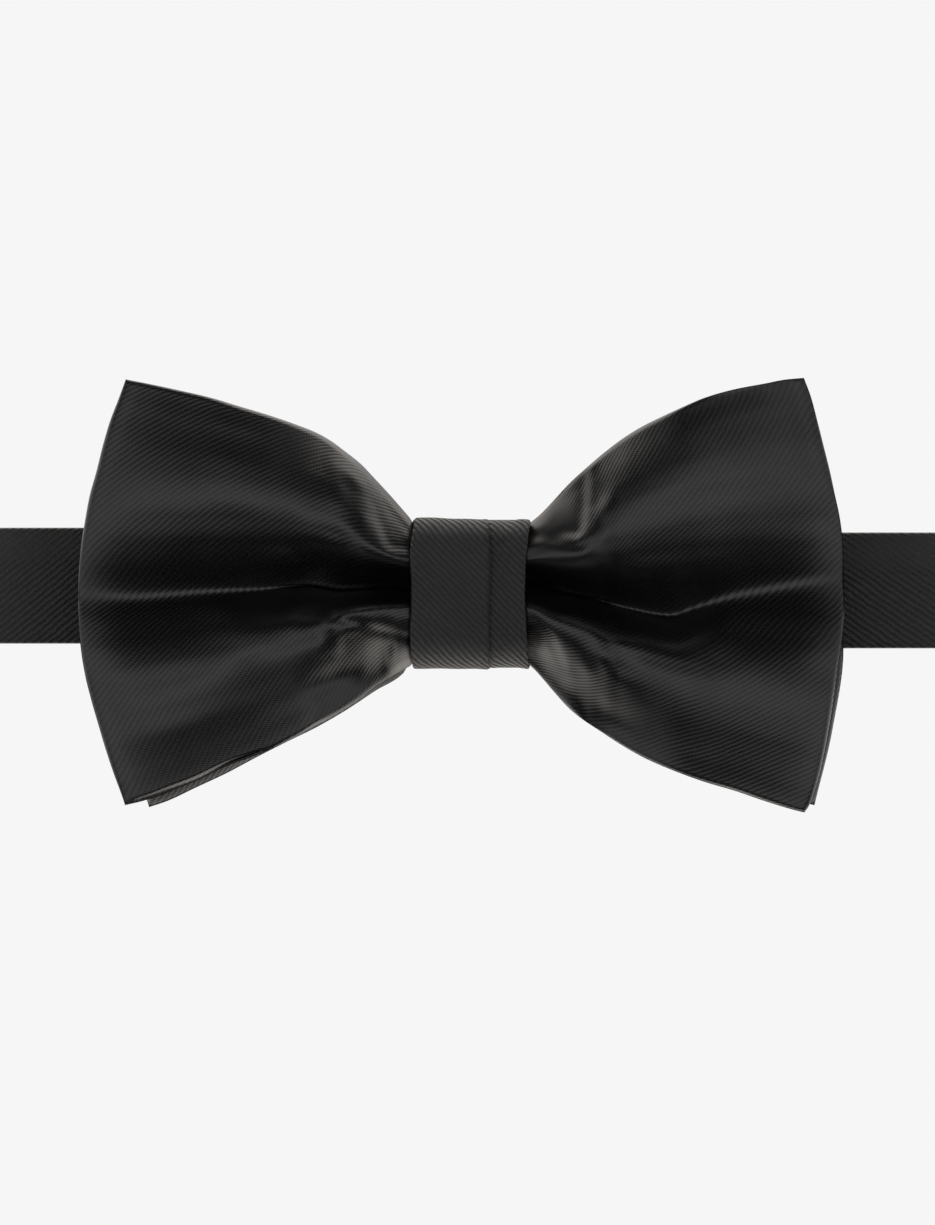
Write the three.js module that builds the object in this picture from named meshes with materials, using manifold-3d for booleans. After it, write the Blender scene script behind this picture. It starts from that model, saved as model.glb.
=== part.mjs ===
// A pre-tied dress bow tie in black satin twill, with its adjustable neckband.
//
// Frame: +Z up, the bow faces -Y, the wearer's neck is on the +Y side.
// Origin: the middle of the flat back of the centre knot, where the tie lies against the collar's top button.
// Units: millimetres.
//
// The bow is two flat bows, one on the other. Each is a face panel, an interlining and a back panel, pinched to a
// two-ridged waist. A thread is wound round both waists, and the knot strip wraps them together with the inner ends
// of the two neckband straps. The straps run straight out to each side, turn round the neck and end at the back:
// the left one in a loop that carries the eye, the right one in an adjustable loop that carries the hook.
import * as THREE from "three";
import { mergeVertices } from "three/addons/utils/BufferGeometryUtils.js";
import Module from "manifold-3d";

const wasm = await Module();
wasm.setup();

// ---------------------------------------------------------------- driving dimensions
const BAND_WIDTH = 18.3; // neckband strap, finished width
const BAND_T = 1.2; // neckband strap, finished thickness
const LEFT_Z = 0.4; // the left strap sits this high on the knot
const RIGHT_Z = -0.35; // and the right strap this high
const FRONT_Y = -2.7; // middle of the strap's thickness, front run
const TURN_R = 28; // radius of the turn at each side, to the middle of the strap
const TURN_X = 68; // where each turn starts
const REAR_Y = FRONT_Y + 2 * TURN_R; // middle of the strap's thickness, rear run
const HINGE_Y = FRONT_Y + TURN_R;
const CUT = 0.3; // gap between two solids that meet face to face

const WRAP_T = 0.9; // knot strip thickness
const KNOT_X0 = -9.3, KNOT_X1 = 8.9; // knot, across
const KNOT_Z0 = -12.55, KNOT_Z1 = 10.75; // knot, bottom and top
const KNOT_FRONT = 15.9; // knot's front face, this far in front of the origin

const BAR_R = 0.6; // round bars of the eye and the hook
const EYE_X = -56; // eye's strap bar
const HOOK_X = -12; // hook's strap bar
const SLIDER_X = 26; // slider's middle bar
const BAR_Y = REAR_Y - BAND_T / 2 - 0.75; // axis of the eye's and the hook's strap bars
const PLATE_T = 1.0; // metal plate thickness
const RAIL_IN = 9.9, RAIL_OUT = 11.2; // side rails of the metal fittings, from the strap's middle
const RUN_END_X = 6; // the fixed part of the right strap's rear run stops here

// ---------------------------------------------------------------- materials
const satin = new THREE.MeshStandardMaterial({ color: 0x17171a, roughness: 0.42, metalness: 0 });
const satinBack = new THREE.MeshStandardMaterial({ color: 0x131315, roughness: 0.6, metalness: 0 });
const strapCloth = new THREE.MeshStandardMaterial({ color: 0x141416, roughness: 0.5, metalness: 0 });
const lining = new THREE.MeshStandardMaterial({ color: 0x3a3a3c, roughness: 0.95, metalness: 0 });
const thread = new THREE.MeshStandardMaterial({ color: 0x0e0e10, roughness: 0.7, metalness: 0 });
const labelCloth = new THREE.MeshStandardMaterial({ color: 0x2a2a2e, roughness: 0.55, metalness: 0 });
const nickel = new THREE.MeshStandardMaterial({ color: 0xc9c7c1, roughness: 0.22, metalness: 1 });

const bowTie = new THREE.Group();
function add(name, geometry, material) {
  const mesh = new THREE.Mesh(geometry, material);
  mesh.name = name;
  bowTie.add(mesh);
  return mesh;
}

// ---------------------------------------------------------------- helpers: solids
function toSolid(geometry) {
  const g = new THREE.BufferGeometry().setAttribute("position", (geometry.index ? geometry.toNonIndexed() : geometry).getAttribute("position"));
  const m = mergeVertices(g, 1e-4);
  return new wasm.Manifold(new wasm.Mesh({ numProp: 3, vertProperties: m.attributes.position.array, triVerts: new Uint32Array(m.index.array) }));
}
function toGeometry(solid) {
  const m = solid.getMesh(), n = m.numProp, p = new Float32Array(m.numVert * 3);
  for (let i = 0; i < m.numVert; i++) p.set(m.vertProperties.subarray(i * n, i * n + 3), i * 3);
  const g = new THREE.BufferGeometry();
  g.setAttribute("position", new THREE.BufferAttribute(p, 3));
  g.setIndex(new THREE.BufferAttribute(m.triVerts, 1));
  g.computeVertexNormals();
  return g;
}
const box = (x0, x1, y0, y1, z0, z1) => {
  const g = new THREE.BoxGeometry(x1 - x0, y1 - y0, z1 - z0);
  g.translate((x0 + x1) / 2, (y0 + y1) / 2, (z0 + z1) / 2);
  return g;
};
const barZ = (x, y, r, z0, z1, n = 14) => {
  const g = new THREE.CylinderGeometry(r, r, z1 - z0, n);
  g.rotateX(Math.PI / 2);
  g.translate(x, y, (z0 + z1) / 2);
  return g;
};
// The outline of a strip of the given thickness along a line of [a, b] points.
function strip(line, t) {
  const left = [], right = [];
  for (let i = 0; i < line.length; i++) {
    const p = line[i], q = line[Math.max(0, i - 1)], r = line[Math.min(line.length - 1, i + 1)];
    const d1 = i > 0 ? [p[0] - q[0], p[1] - q[1]] : [r[0] - p[0], r[1] - p[1]];
    const d2 = i < line.length - 1 ? [r[0] - p[0], r[1] - p[1]] : d1;
    const u1 = Math.hypot(...d1), u2 = Math.hypot(...d2);
    const n1 = [-d1[1] / u1, d1[0] / u1], n2 = [-d2[1] / u2, d2[0] / u2];
    let m = [n1[0] + n2[0], n1[1] + n2[1]];
    const l = Math.hypot(...m);
    m = [m[0] / l, m[1] / l];
    const k = t / 2 / Math.max(0.35, m[0] * n1[0] + m[1] * n1[1]);
    left.push([p[0] + m[0] * k, p[1] + m[1] * k]);
    right.push([p[0] - m[0] * k, p[1] - m[1] * k]);
  }
  return left.concat(right.reverse());
}
const shapeOf = (pts) => new THREE.Shape(pts.map((p) => new THREE.Vector2(p[0], p[1])));
// A plan outline in X and Y, raised from z0 to z1.
function riseZ(pts, z0, z1) {
  const g = new THREE.ExtrudeGeometry(shapeOf(pts), { depth: z1 - z0, bevelEnabled: false, curveSegments: 6 });
  g.translate(0, 0, z0);
  return g;
}
// An outline in X and Z, from y0 to y1.
function riseY(pts, y0, y1) {
  const g = new THREE.ExtrudeGeometry(shapeOf(pts), { depth: y1 - y0, bevelEnabled: false });
  g.rotateX(Math.PI / 2); // x stays, the outline's second axis becomes Z, and the depth runs to -Y
  g.translate(0, y1, 0);
  return g;
}
// An outline in depth d (towards -Y) and Z, from x0 to x1.
function riseX(pts, x0, x1) {
  const g = new THREE.ExtrudeGeometry(shapeOf(pts), { depth: x1 - x0, bevelEnabled: false });
  // outline (a, b) -> (y = -a, z = b), and the depth becomes X
  g.applyMatrix4(new THREE.Matrix4().set(0, 0, 1, x0, -1, 0, 0, 0, 0, 1, 0, 0, 0, 0, 0, 1));
  // that basis mirrors, so each face is turned round
  const p = g.getAttribute("position");
  if (new THREE.Matrix4().set(0, 0, 1, 0, -1, 0, 0, 0, 0, 1, 0, 0, 0, 0, 0, 1).determinant() < 0)
    for (let i = 0; i < p.count; i += 3)
      for (let k = 0; k < 3; k++) {
        const a = p.array[3 * (i + 1) + k];
        p.array[3 * (i + 1) + k] = p.array[3 * (i + 2) + k];
        p.array[3 * (i + 2) + k] = a;
      }
  return g;
}
// Points on a circle's arc, angles in degrees.
function arc(cx, cy, r, a0, a1, n) {
  const out = [];
  for (let i = 0; i <= n; i++) {
    const a = ((a0 + ((a1 - a0) * i) / n) * Math.PI) / 180;
    out.push([cx + r * Math.cos(a), cy + r * Math.sin(a)]);
  }
  return out;
}
// A line through corner points, each corner rounded to the given radius.
function rounded(corners, radii, n = 5) {
  const out = [corners[0]];
  for (let i = 1; i < corners.length - 1; i++) {
    const p = new THREE.Vector2(...corners[i]);
    const a = new THREE.Vector2(...corners[i - 1]).sub(p).normalize();
    const b = new THREE.Vector2(...corners[i + 1]).sub(p).normalize();
    const half = Math.acos(a.dot(b)) / 2, back = radii[i - 1] / Math.tan(half);
    const s = p.clone().addScaledVector(a, back), e = p.clone().addScaledVector(b, back);
    const c = p.clone().addScaledVector(a.clone().add(b).normalize(), radii[i - 1] / Math.sin(half));
    let a0 = Math.atan2(s.y - c.y, s.x - c.x), a1 = Math.atan2(e.y - c.y, e.x - c.x);
    if (a1 - a0 > Math.PI) a1 -= 2 * Math.PI;
    if (a0 - a1 > Math.PI) a1 += 2 * Math.PI;
    for (let k = 0; k <= n; k++) {
      const t = a0 + ((a1 - a0) * k) / n;
      out.push([c.x + radii[i - 1] * Math.cos(t), c.y + radii[i - 1] * Math.sin(t)]);
    }
  }
  out.push(corners[corners.length - 1]);
  return out;
}
// A thread worked to and fro, as one zigzag strip.
function zigzag(x0, x1, z0, z1, n) {
  const line = [];
  for (let i = 0; i <= n; i++) line.push([i % 2 ? x1 : x0, z0 + ((z1 - z0) * i) / n]);
  return strip(line, 0.35);
}

// ---------------------------------------------------------------- the bow
// Straight-line interpolation in a table of [x, value].
function at(table, x) {
  if (x <= table[0][0]) return table[0][1];
  for (let i = 1; i < table.length; i++)
    if (x <= table[i][0]) {
      const t = (x - table[i - 1][0]) / (table[i][0] - table[i - 1][0]);
      return table[i - 1][1] + t * (table[i][1] - table[i - 1][1]);
    }
  return table[table.length - 1][1];
}
// Outlines of the wings, as half tables by distance from the middle: top edge, bottom edge, and the bulging end from
// its bottom corner to its top corner.
const FRONT = {
  left: {
    top: [[0, 8.7], [5, 8.8], [9.35, 9.4], [10.35, 12.2], [12.7, 14.6], [15.1, 17.2], [17.4, 19.6], [19.8, 21.5], [22.1, 23.2], [24.5, 24.5], [26.8, 25.4], [31.5, 27.0], [36.2, 28.4], [40.9, 29.8], [45.6, 30.9], [50.3, 31.9], [53.96, 32.6]],
    bottom: [[0, -10.5], [5, -10.6], [9.35, -11.2], [10.35, -12.7], [12.7, -14.0], [15.1, -15.5], [17.4, -17.4], [19.8, -19.0], [22.1, -20.4], [24.5, -21.6], [26.8, -23.0], [31.5, -25.3], [33.7, -26.2], [37.6, -27.6], [43.3, -30.3], [47.2, -31.8], [51.0, -33.2], [53.96, -33.9]],
    end: [[53.96, -33.9], [54.43, -32.5], [55.84, -28.7], [57.1, -24.9], [58.2, -21.2], [59.3, -17.4], [60.24, -13.6], [60.86, -9.9], [61.25, -5.8], [61.33, -1.9], [61.25, 2.0], [60.86, 6.7], [60.24, 10.8], [59.6, 14.3], [58.5, 18.3], [57.57, 22.1], [56.47, 25.9], [55.06, 29.6], [53.96, 32.6]],
  },
  right: {
    top: [[0, 8.7], [5, 8.8], [9.3, 9.4], [9.73, 10.5], [10.8, 11.5], [13.2, 14.0], [15.5, 16.5], [17.9, 18.7], [20.2, 20.7], [22.6, 22.6], [24.9, 24.2], [27.3, 25.6], [29.6, 26.7], [32.0, 27.8], [36.7, 29.8], [41.4, 31.1], [46.1, 32.0], [49.1, 32.6], [52.1, 32.9]],
    bottom: [[0, -10.5], [5, -10.6], [9.3, -11.2], [9.88, -12.7], [10.8, -13.7], [13.2, -16.5], [15.5, -19.0], [17.9, -20.9], [20.2, -22.4], [22.6, -24.0], [24.9, -25.4], [27.3, -26.7], [32.0, -28.7], [36.7, -30.4], [41.4, -31.8], [46.1, -33.4], [50.8, -34.8], [52.1, -35.1]],
    end: [[52.1, -35.1], [52.86, -34.0], [54.09, -30.5], [55.53, -24.2], [56.72, -17.1], [57.41, -12.2], [58.12, -7.5], [58.35, -2.7], [58.35, 2.0], [58.2, 6.7], [57.73, 10.8], [56.94, 14.6], [56.16, 18.3], [55.22, 22.1], [54.27, 25.9], [53.18, 30.0], [52.1, 32.9]],
  },
};
const REAR = {
  left: {
    top: [[0, 8.5], [9.35, 9.2], [10.6, 11.4], [15, 16.2], [20, 20.4], [25, 23.4], [31, 25.6], [40, 28.2], [50, 30.0], [51.5, 30.3]],
    bottom: [[0, -10.3], [5, -10.5], [9.35, -11.2], [10.35, -13.1], [15.1, -16.2], [19.8, -19.3], [24.5, -22.0], [29.2, -24.3], [33.9, -26.7], [38.6, -29.2], [43.3, -31.4], [48.0, -33.6], [50.7, -34.5]],
    end: [[50.7, -34.5], [54.6, -22.3], [57.6, -11.3], [58.6, -1.9], [58.2, 7.5], [56.2, 18.5], [51.5, 30.3]],
  },
  right: {
    top: [[0, 8.5], [9.3, 9.2], [10.6, 10.9], [15, 15.2], [20, 19.8], [25, 23.4], [30, 26.0], [38, 29.0], [46, 30.4], [51.0, 30.8]],
    bottom: [[0, -10.3], [5, -10.5], [9.3, -11.2], [9.9, -12.2], [13.2, -15.7], [20.2, -21.3], [29.6, -26.7], [39.1, -30.1], [48.5, -32.8], [54.1, -34.2]],
    end: [[54.1, -34.2], [56.94, -22.3], [58.67, -9.7], [58.35, -1.9], [57.25, 7.5], [55.06, 18.5], [51.0, 30.8]],
  },
};
// Depth of each bow's front surface in front of the origin, by distance from the middle.
const FRONT_DEPTH = {
  crest: [[0, 12.6], [5, 13.1], [9.35, 14.4], [12, 15.1], [16, 15.8], [22, 16.2], [32, 15.7], [40, 14.4], [48, 13.4], [61, 11.9]],
  valley: [[0, 10.0], [5, 9.6], [9.35, 8.8], [14, 8.3], [22, 8.1], [32, 8.3], [40, 8.9], [48, 9.6], [61, 10.4]],
  edge: [[0, 9.6], [9.35, 9.3], [12, 8.8], [20, 8.6], [27, 9.6], [34, 10.8], [42, 11.0], [61, 10.8]],
};
const REAR_DEPTH = {
  crest: [[0, 7.0], [9.4, 6.4], [14, 5.9], [25, 5.8], [61, 5.6]],
  valley: [[0, 6.7], [9.4, 6.1], [14, 5.5], [61, 5.3]],
  edge: [[0, 6.4], [9.4, 5.9], [14, 5.4], [61, 5.2]],
};
function relief(depth, ax, v) {
  const c = at(depth.crest, ax), w = at(depth.valley, ax), e = at(depth.edge, ax), a = Math.abs(v), peak = 0.52;
  if (a < peak) return w + (c - w) * (0.5 - 0.5 * Math.cos((Math.PI * a) / peak));
  const t = (a - peak) / (1 - peak);
  return e + (c - e) * (0.5 + 0.5 * Math.cos(Math.PI * t));
}
const resample = (table, n) => {
  const c = new THREE.SplineCurve(table.map((p) => new THREE.Vector2(p[0], p[1])));
  return c.getSpacedPoints(n).map((p) => [p.x, p.y]);
};
// Columns of points across the whole bow, from its left end to its right end.
function columns(outline, stations, nv) {
  const cols = [];
  for (const [side, sign] of [["left", -1], ["right", 1]]) {
    const o = outline[side], corner = Math.min(o.top[o.top.length - 1][0], o.bottom[o.bottom.length - 1][0]);
    const end = resample(o.end, nv);
    const half = stations.map((s) => {
      const near = s <= 11, X = near ? s : 11 + ((s - 11) * (corner - 11)) / (54 - 11), u = X / corner;
      const last = s >= 54;
      const zt = last ? o.top[o.top.length - 1][1] : at(o.top, X), zb = last ? o.bottom[o.bottom.length - 1][1] : at(o.bottom, X);
      const xt = last ? o.top[o.top.length - 1][0] : X, xb = last ? o.bottom[o.bottom.length - 1][0] : X;
      const col = [];
      for (let j = 0; j <= nv; j++) {
        const w = j / nv, v = 2 * w - 1, chordX = o.end[0][0] + w * (o.end[o.end.length - 1][0] - o.end[0][0]);
        const chordZ = o.end[0][1] + w * (o.end[o.end.length - 1][1] - o.end[0][1]);
        const k = u * u * u;
        const x = xb + w * (xt - xb) + k * (end[j][0] - chordX), z = zb + w * (zt - zb) + k * (end[j][1] - chordZ);
        col.push({ x: sign * x, z, v, ax: x });
      }
      return col;
    });
    if (side === "left") cols.push(...half.reverse());
    else cols.push(...half.slice(1));
  }
  return cols;
}
// The columns laid at a depth in front of the origin.
const laid = (cols, f) => cols.map((c) => c.map((p) => [p.x, -f(p), p.z]));
// The same surface, cut back along all four edges by part of a grid step.
function cutBack(grid, e) {
  const mix = (p, q) => p.map((a, k) => a + e * (q[k] - a));
  const rows = grid.map((c) => [mix(c[0], c[1]), ...c.slice(1, -1), mix(c[c.length - 1], c[c.length - 2])]);
  const n = rows.length;
  return [rows[0].map((p, j) => mix(p, rows[1][j])), ...rows.slice(1, -1), rows[n - 1].map((p, j) => mix(p, rows[n - 2][j]))];
}
// A closed layer between two surfaces on the same grid.
function layer(front, back) {
  const nu = front.length, nv = front[0].length, P = [];
  for (const f of [front, back]) for (const c of f) for (const p of c) P.push(p);
  const id = (s, i, j) => s * nu * nv + i * nv + j, tri = [];
  const quad = (a, b, c, d) => tri.push([a, b, c], [a, c, d]);
  for (let i = 0; i < nu - 1; i++)
    for (let j = 0; j < nv - 1; j++) {
      quad(id(0, i, j), id(0, i + 1, j), id(0, i + 1, j + 1), id(0, i, j + 1));
      // the back is split along the same diagonal as the front
      const [a, b, c, d] = [id(1, i, j), id(1, i + 1, j), id(1, i + 1, j + 1), id(1, i, j + 1)];
      tri.push([a, c, b], [a, d, c]);
    }
  for (let i = 0; i < nu - 1; i++) {
    quad(id(1, i, 0), id(1, i + 1, 0), id(0, i + 1, 0), id(0, i, 0));
    quad(id(0, i, nv - 1), id(0, i + 1, nv - 1), id(1, i + 1, nv - 1), id(1, i, nv - 1));
  }
  for (let j = 0; j < nv - 1; j++) {
    quad(id(1, 0, j), id(0, 0, j), id(0, 0, j + 1), id(1, 0, j + 1));
    quad(id(0, nu - 1, j), id(1, nu - 1, j), id(1, nu - 1, j + 1), id(0, nu - 1, j + 1));
  }
  const pos = new Float32Array(tri.length * 9);
  tri.forEach((t, n) => t.forEach((k, m) => pos.set(P[k], n * 9 + m * 3)));
  const g = new THREE.BufferGeometry().setAttribute("position", new THREE.BufferAttribute(pos, 3));
  g.computeVertexNormals();
  return g;
}
const frontCols = columns(FRONT, [0, 5, 9.35, 10.6, 14, 19, 25, 32, 40, 48, 54], 12);
const rearCols = columns(REAR, [0, 9.35, 10.6, 16, 24, 34, 45, 54], 8);
const hem = (v) => Math.min(1, Math.max(0, (Math.abs(v) - 0.7) / 0.3)) ** 2;
const F = (p) => relief(FRONT_DEPTH, p.ax, p.v);
const FB = (p) => (1 - hem(p.v)) * ((F(p) + at(FRONT_DEPTH.valley, p.ax)) / 2 - 2.1) + hem(p.v) * (F(p) - 2.05);
const G = (p) => relief(REAR_DEPTH, p.ax, p.v);
const GB = (p) => (1 - hem(p.v)) * (0.7 * G(p) + 0.3 * at(REAR_DEPTH.valley, p.ax) - 1.75) + hem(p.v) * (G(p) - 1.7);
const off = (f, d) => (p) => f(p) + d;
add("front_bow_face", layer(laid(frontCols, F), laid(frontCols, off(F, -0.5))), satin);
add("front_bow_interlining", layer(cutBack(laid(frontCols, off(F, -0.7)), 0.4), cutBack(laid(frontCols, off(F, -1.35)), 0.4)), lining);
add("front_bow_back", layer(laid(frontCols, off(FB, 0.5)), laid(frontCols, FB)), satinBack);
add("rear_bow_face", layer(laid(rearCols, G), laid(rearCols, off(G, -0.45))), satin);
add("rear_bow_interlining", layer(cutBack(laid(rearCols, off(G, -0.62)), 0.4), cutBack(laid(rearCols, off(G, -1.1)), 0.4)), lining);
add("rear_bow_back", layer(laid(rearCols, off(GB, 0.45)), laid(rearCols, GB)), satinBack);

// ---------------------------------------------------------------- the knot
// Thread wound round both waists, as one flat coil.
{
  const ring = (t) => rounded([[8, 9.5 - t], [3.6 + t, 9.5 - t], [3.6 + t, -11.3 + t], [13.5 - t, -11.3 + t], [13.5 - t, 9.5 - t], [8, 9.5 - t]], [1.2, 1.2, 1.6, 1.6], 4);
  const outer = toSolid(riseX(ring(0).slice(0, -1), -1.6, 1.6)), inner = toSolid(riseX(ring(0.5).slice(0, -1), -3, 3));
  add("gather_thread", toGeometry(outer.subtract(inner)), thread);
}
add("knot_interlining", riseX(strip([[KNOT_FRONT - 1.3, KNOT_Z1 - 2.4], [KNOT_FRONT - 1.3, KNOT_Z0 + 2.4]], 0.3), KNOT_X0 + 0.9, KNOT_X1 - 0.9), lining);
// The knot strip goes once round, and its ends lap over at the back.
add(
  "knot_wrap",
  riseX(
    strip(
      rounded(
        [[1.45, 5], [1.45, KNOT_Z0 + 0.45], [KNOT_FRONT - 0.45, KNOT_Z0 + 0.45], [KNOT_FRONT - 0.45, KNOT_Z1 - 0.45], [0.45, KNOT_Z1 - 0.45], [0.45, -3]],
        [0.9, 2.4, 2.4, 0.9],
        6,
      ),
      WRAP_T,
    ),
    KNOT_X0,
    KNOT_X1,
  ),
  satin,
);
add("knot_stitching", riseY(strip(Array.from({ length: 17 }, (_, i) => [-6 + 0.75 * i, i % 2 ? -3.5 : -4.9]), 0.35), -0.95, -0.6), thread);

// ---------------------------------------------------------------- the neckband
// A strap is a sleeve of cloth folded round an interlining, open at its two ends.
const HALF = BAND_WIDTH / 2;
function sleeve(name, line, zc, liningLine) {
  const n = line.length, a = line[0], b = line[1], c = line[n - 2], d = line[n - 1];
  const out = (p, q) => { const l = Math.hypot(p[0] - q[0], p[1] - q[1]); return [p[0] + (p[0] - q[0]) / l, p[1] + (p[1] - q[1]) / l]; };
  const body = toSolid(riseZ(strip(line, BAND_T), zc - HALF, zc + HALF));
  const room = toSolid(riseZ(strip([out(a, b), ...line, out(d, c)], 0.54), zc - HALF + 0.4, zc + HALF - 0.4));
  add(name, toGeometry(body.subtract(room)), strapCloth);
  add(name + "_interlining", riseZ(strip(liningLine, 0.34), zc - HALF + 0.7, zc + HALF - 0.7), lining);
}
const turnFront = (s) => arc(s * TURN_X, HINGE_Y, TURN_R, -90, s < 0 ? -180 : 0, 9); // front run to the hinge
const turnRear = (s) => arc(s * TURN_X, HINGE_Y, TURN_R, s < 0 ? 180 : 0, 90, 9); // hinge to the rear run
const hingeDown = (line, s) => [...line.slice(0, -1), [s * (TURN_X + TURN_R), HINGE_Y - CUT / 2]];
const hingeUp = (line, s) => [[s * (TURN_X + TURN_R), HINGE_Y + CUT / 2], ...line.slice(1)];
{
  const l = hingeDown(turnFront(-1), -1), r = hingeDown(turnFront(1), 1);
  sleeve("band_left_front", [[-0.3, FRONT_Y], ...l], LEFT_Z, [[-1, FRONT_Y], ...l.slice(0, -1), [-(TURN_X + TURN_R), HINGE_Y - 0.6]]);
  sleeve("band_right_front", [[0.3, FRONT_Y], ...r], RIGHT_Z, [[1, FRONT_Y], ...r.slice(0, -1), [TURN_X + TURN_R, HINGE_Y - 0.6]]);
}
{
  // Left strap behind the hinge: round the turn, along the back, round the eye's bar and back on itself.
  const turn = hingeUp(turnRear(-1), -1), bend = arc(EYE_X, BAR_Y, 1.35, 90, -90, 10);
  const line = [...turn, ...bend, [EYE_X - 1.4, BAR_Y - 1.2], [EYE_X - 3.4, REAR_Y - 1.4], [EYE_X - 10, REAR_Y - 1.4]];
  sleeve("band_left_rear", line, LEFT_Z, [[-(TURN_X + TURN_R), HINGE_Y + 0.6], ...turn.slice(1), [EYE_X - 1, REAR_Y]]);
}
add("eye_loop_bartack", riseY(zigzag(EYE_X - 7.6, EYE_X - 6.2, LEFT_Z - 7.4, LEFT_Z + 7.4, 24), REAR_Y + 0.65, REAR_Y + 0.95), thread);
{
  // Right strap behind the hinge, as far as the loop that the slider shortens.
  const turn = hingeUp(turnRear(1), 1);
  sleeve("band_right_rear", [...turn, [RUN_END_X + CUT, REAR_Y]], RIGHT_Z, [[TURN_X + TURN_R, HINGE_Y + 0.6], ...turn.slice(1), [RUN_END_X + 0.8, REAR_Y]]);
}
// The loop: outer run, the turn round the hook's bar, and the tail that comes back to the slider.
add("band_right_run_end", riseZ(strip([[RUN_END_X, REAR_Y], [HOOK_X + 2.3, REAR_Y]], BAND_T), RIGHT_Z - HALF, RIGHT_Z + HALF), strapCloth);
add("band_right_turn", riseZ(strip([[HOOK_X + 2, REAR_Y], ...arc(HOOK_X, BAR_Y, 1.35, 90, 270, 10), [HOOK_X + 2, BAR_Y - 1.35]], BAND_T), RIGHT_Z - HALF, RIGHT_Z + HALF), strapCloth);
add("band_right_tail", riseZ(strip([[HOOK_X + 2.3, BAR_Y - 1.35], [SLIDER_X - 7.3, BAR_Y - 1.35]], 1.0), RIGHT_Z - HALF, RIGHT_Z + HALF), strapCloth);
const SLIDE_Y = REAR_Y - 2.4; // axis of the slider's middle bar
add(
  "band_right_sewn_end",
  riseZ(strip([[SLIDER_X - 7, BAR_Y - 1.35], [SLIDER_X - 3, BAR_Y - 1.35], [SLIDER_X - 1, SLIDE_Y - 1.1], ...arc(SLIDER_X, SLIDE_Y, 1.1, -90, 90, 10), [SLIDER_X - 6.6, SLIDE_Y + 0.85]], 0.8), RIGHT_Z - HALF, RIGHT_Z + HALF),
  strapCloth,
);
add("tail_bartack", riseY(zigzag(SLIDER_X - 6.2, SLIDER_X - 4.8, RIGHT_Z - 7.4, RIGHT_Z + 7.4, 24), BAR_Y - 1.35 - 0.8, BAR_Y - 1.35 - 0.5), thread);

// A plain size label on the neck side of the left strap, sewn at both ends.
add("size_label", box(-52, -26, FRONT_Y + BAND_T / 2 + 0.1, FRONT_Y + BAND_T / 2 + 0.4, LEFT_Z - 6, LEFT_Z + 6), labelCloth);
add("size_label_stitching_left", riseY(zigzag(-51.4, -50.5, LEFT_Z - 5.4, LEFT_Z + 5.4, 16), FRONT_Y + BAND_T / 2 + 0.45, FRONT_Y + BAND_T / 2 + 0.7), thread);
add("size_label_stitching_right", riseY(zigzag(-27.5, -26.6, LEFT_Z - 5.4, LEFT_Z + 5.4, 16), FRONT_Y + BAND_T / 2 + 0.45, FRONT_Y + BAND_T / 2 + 0.7), thread);

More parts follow.
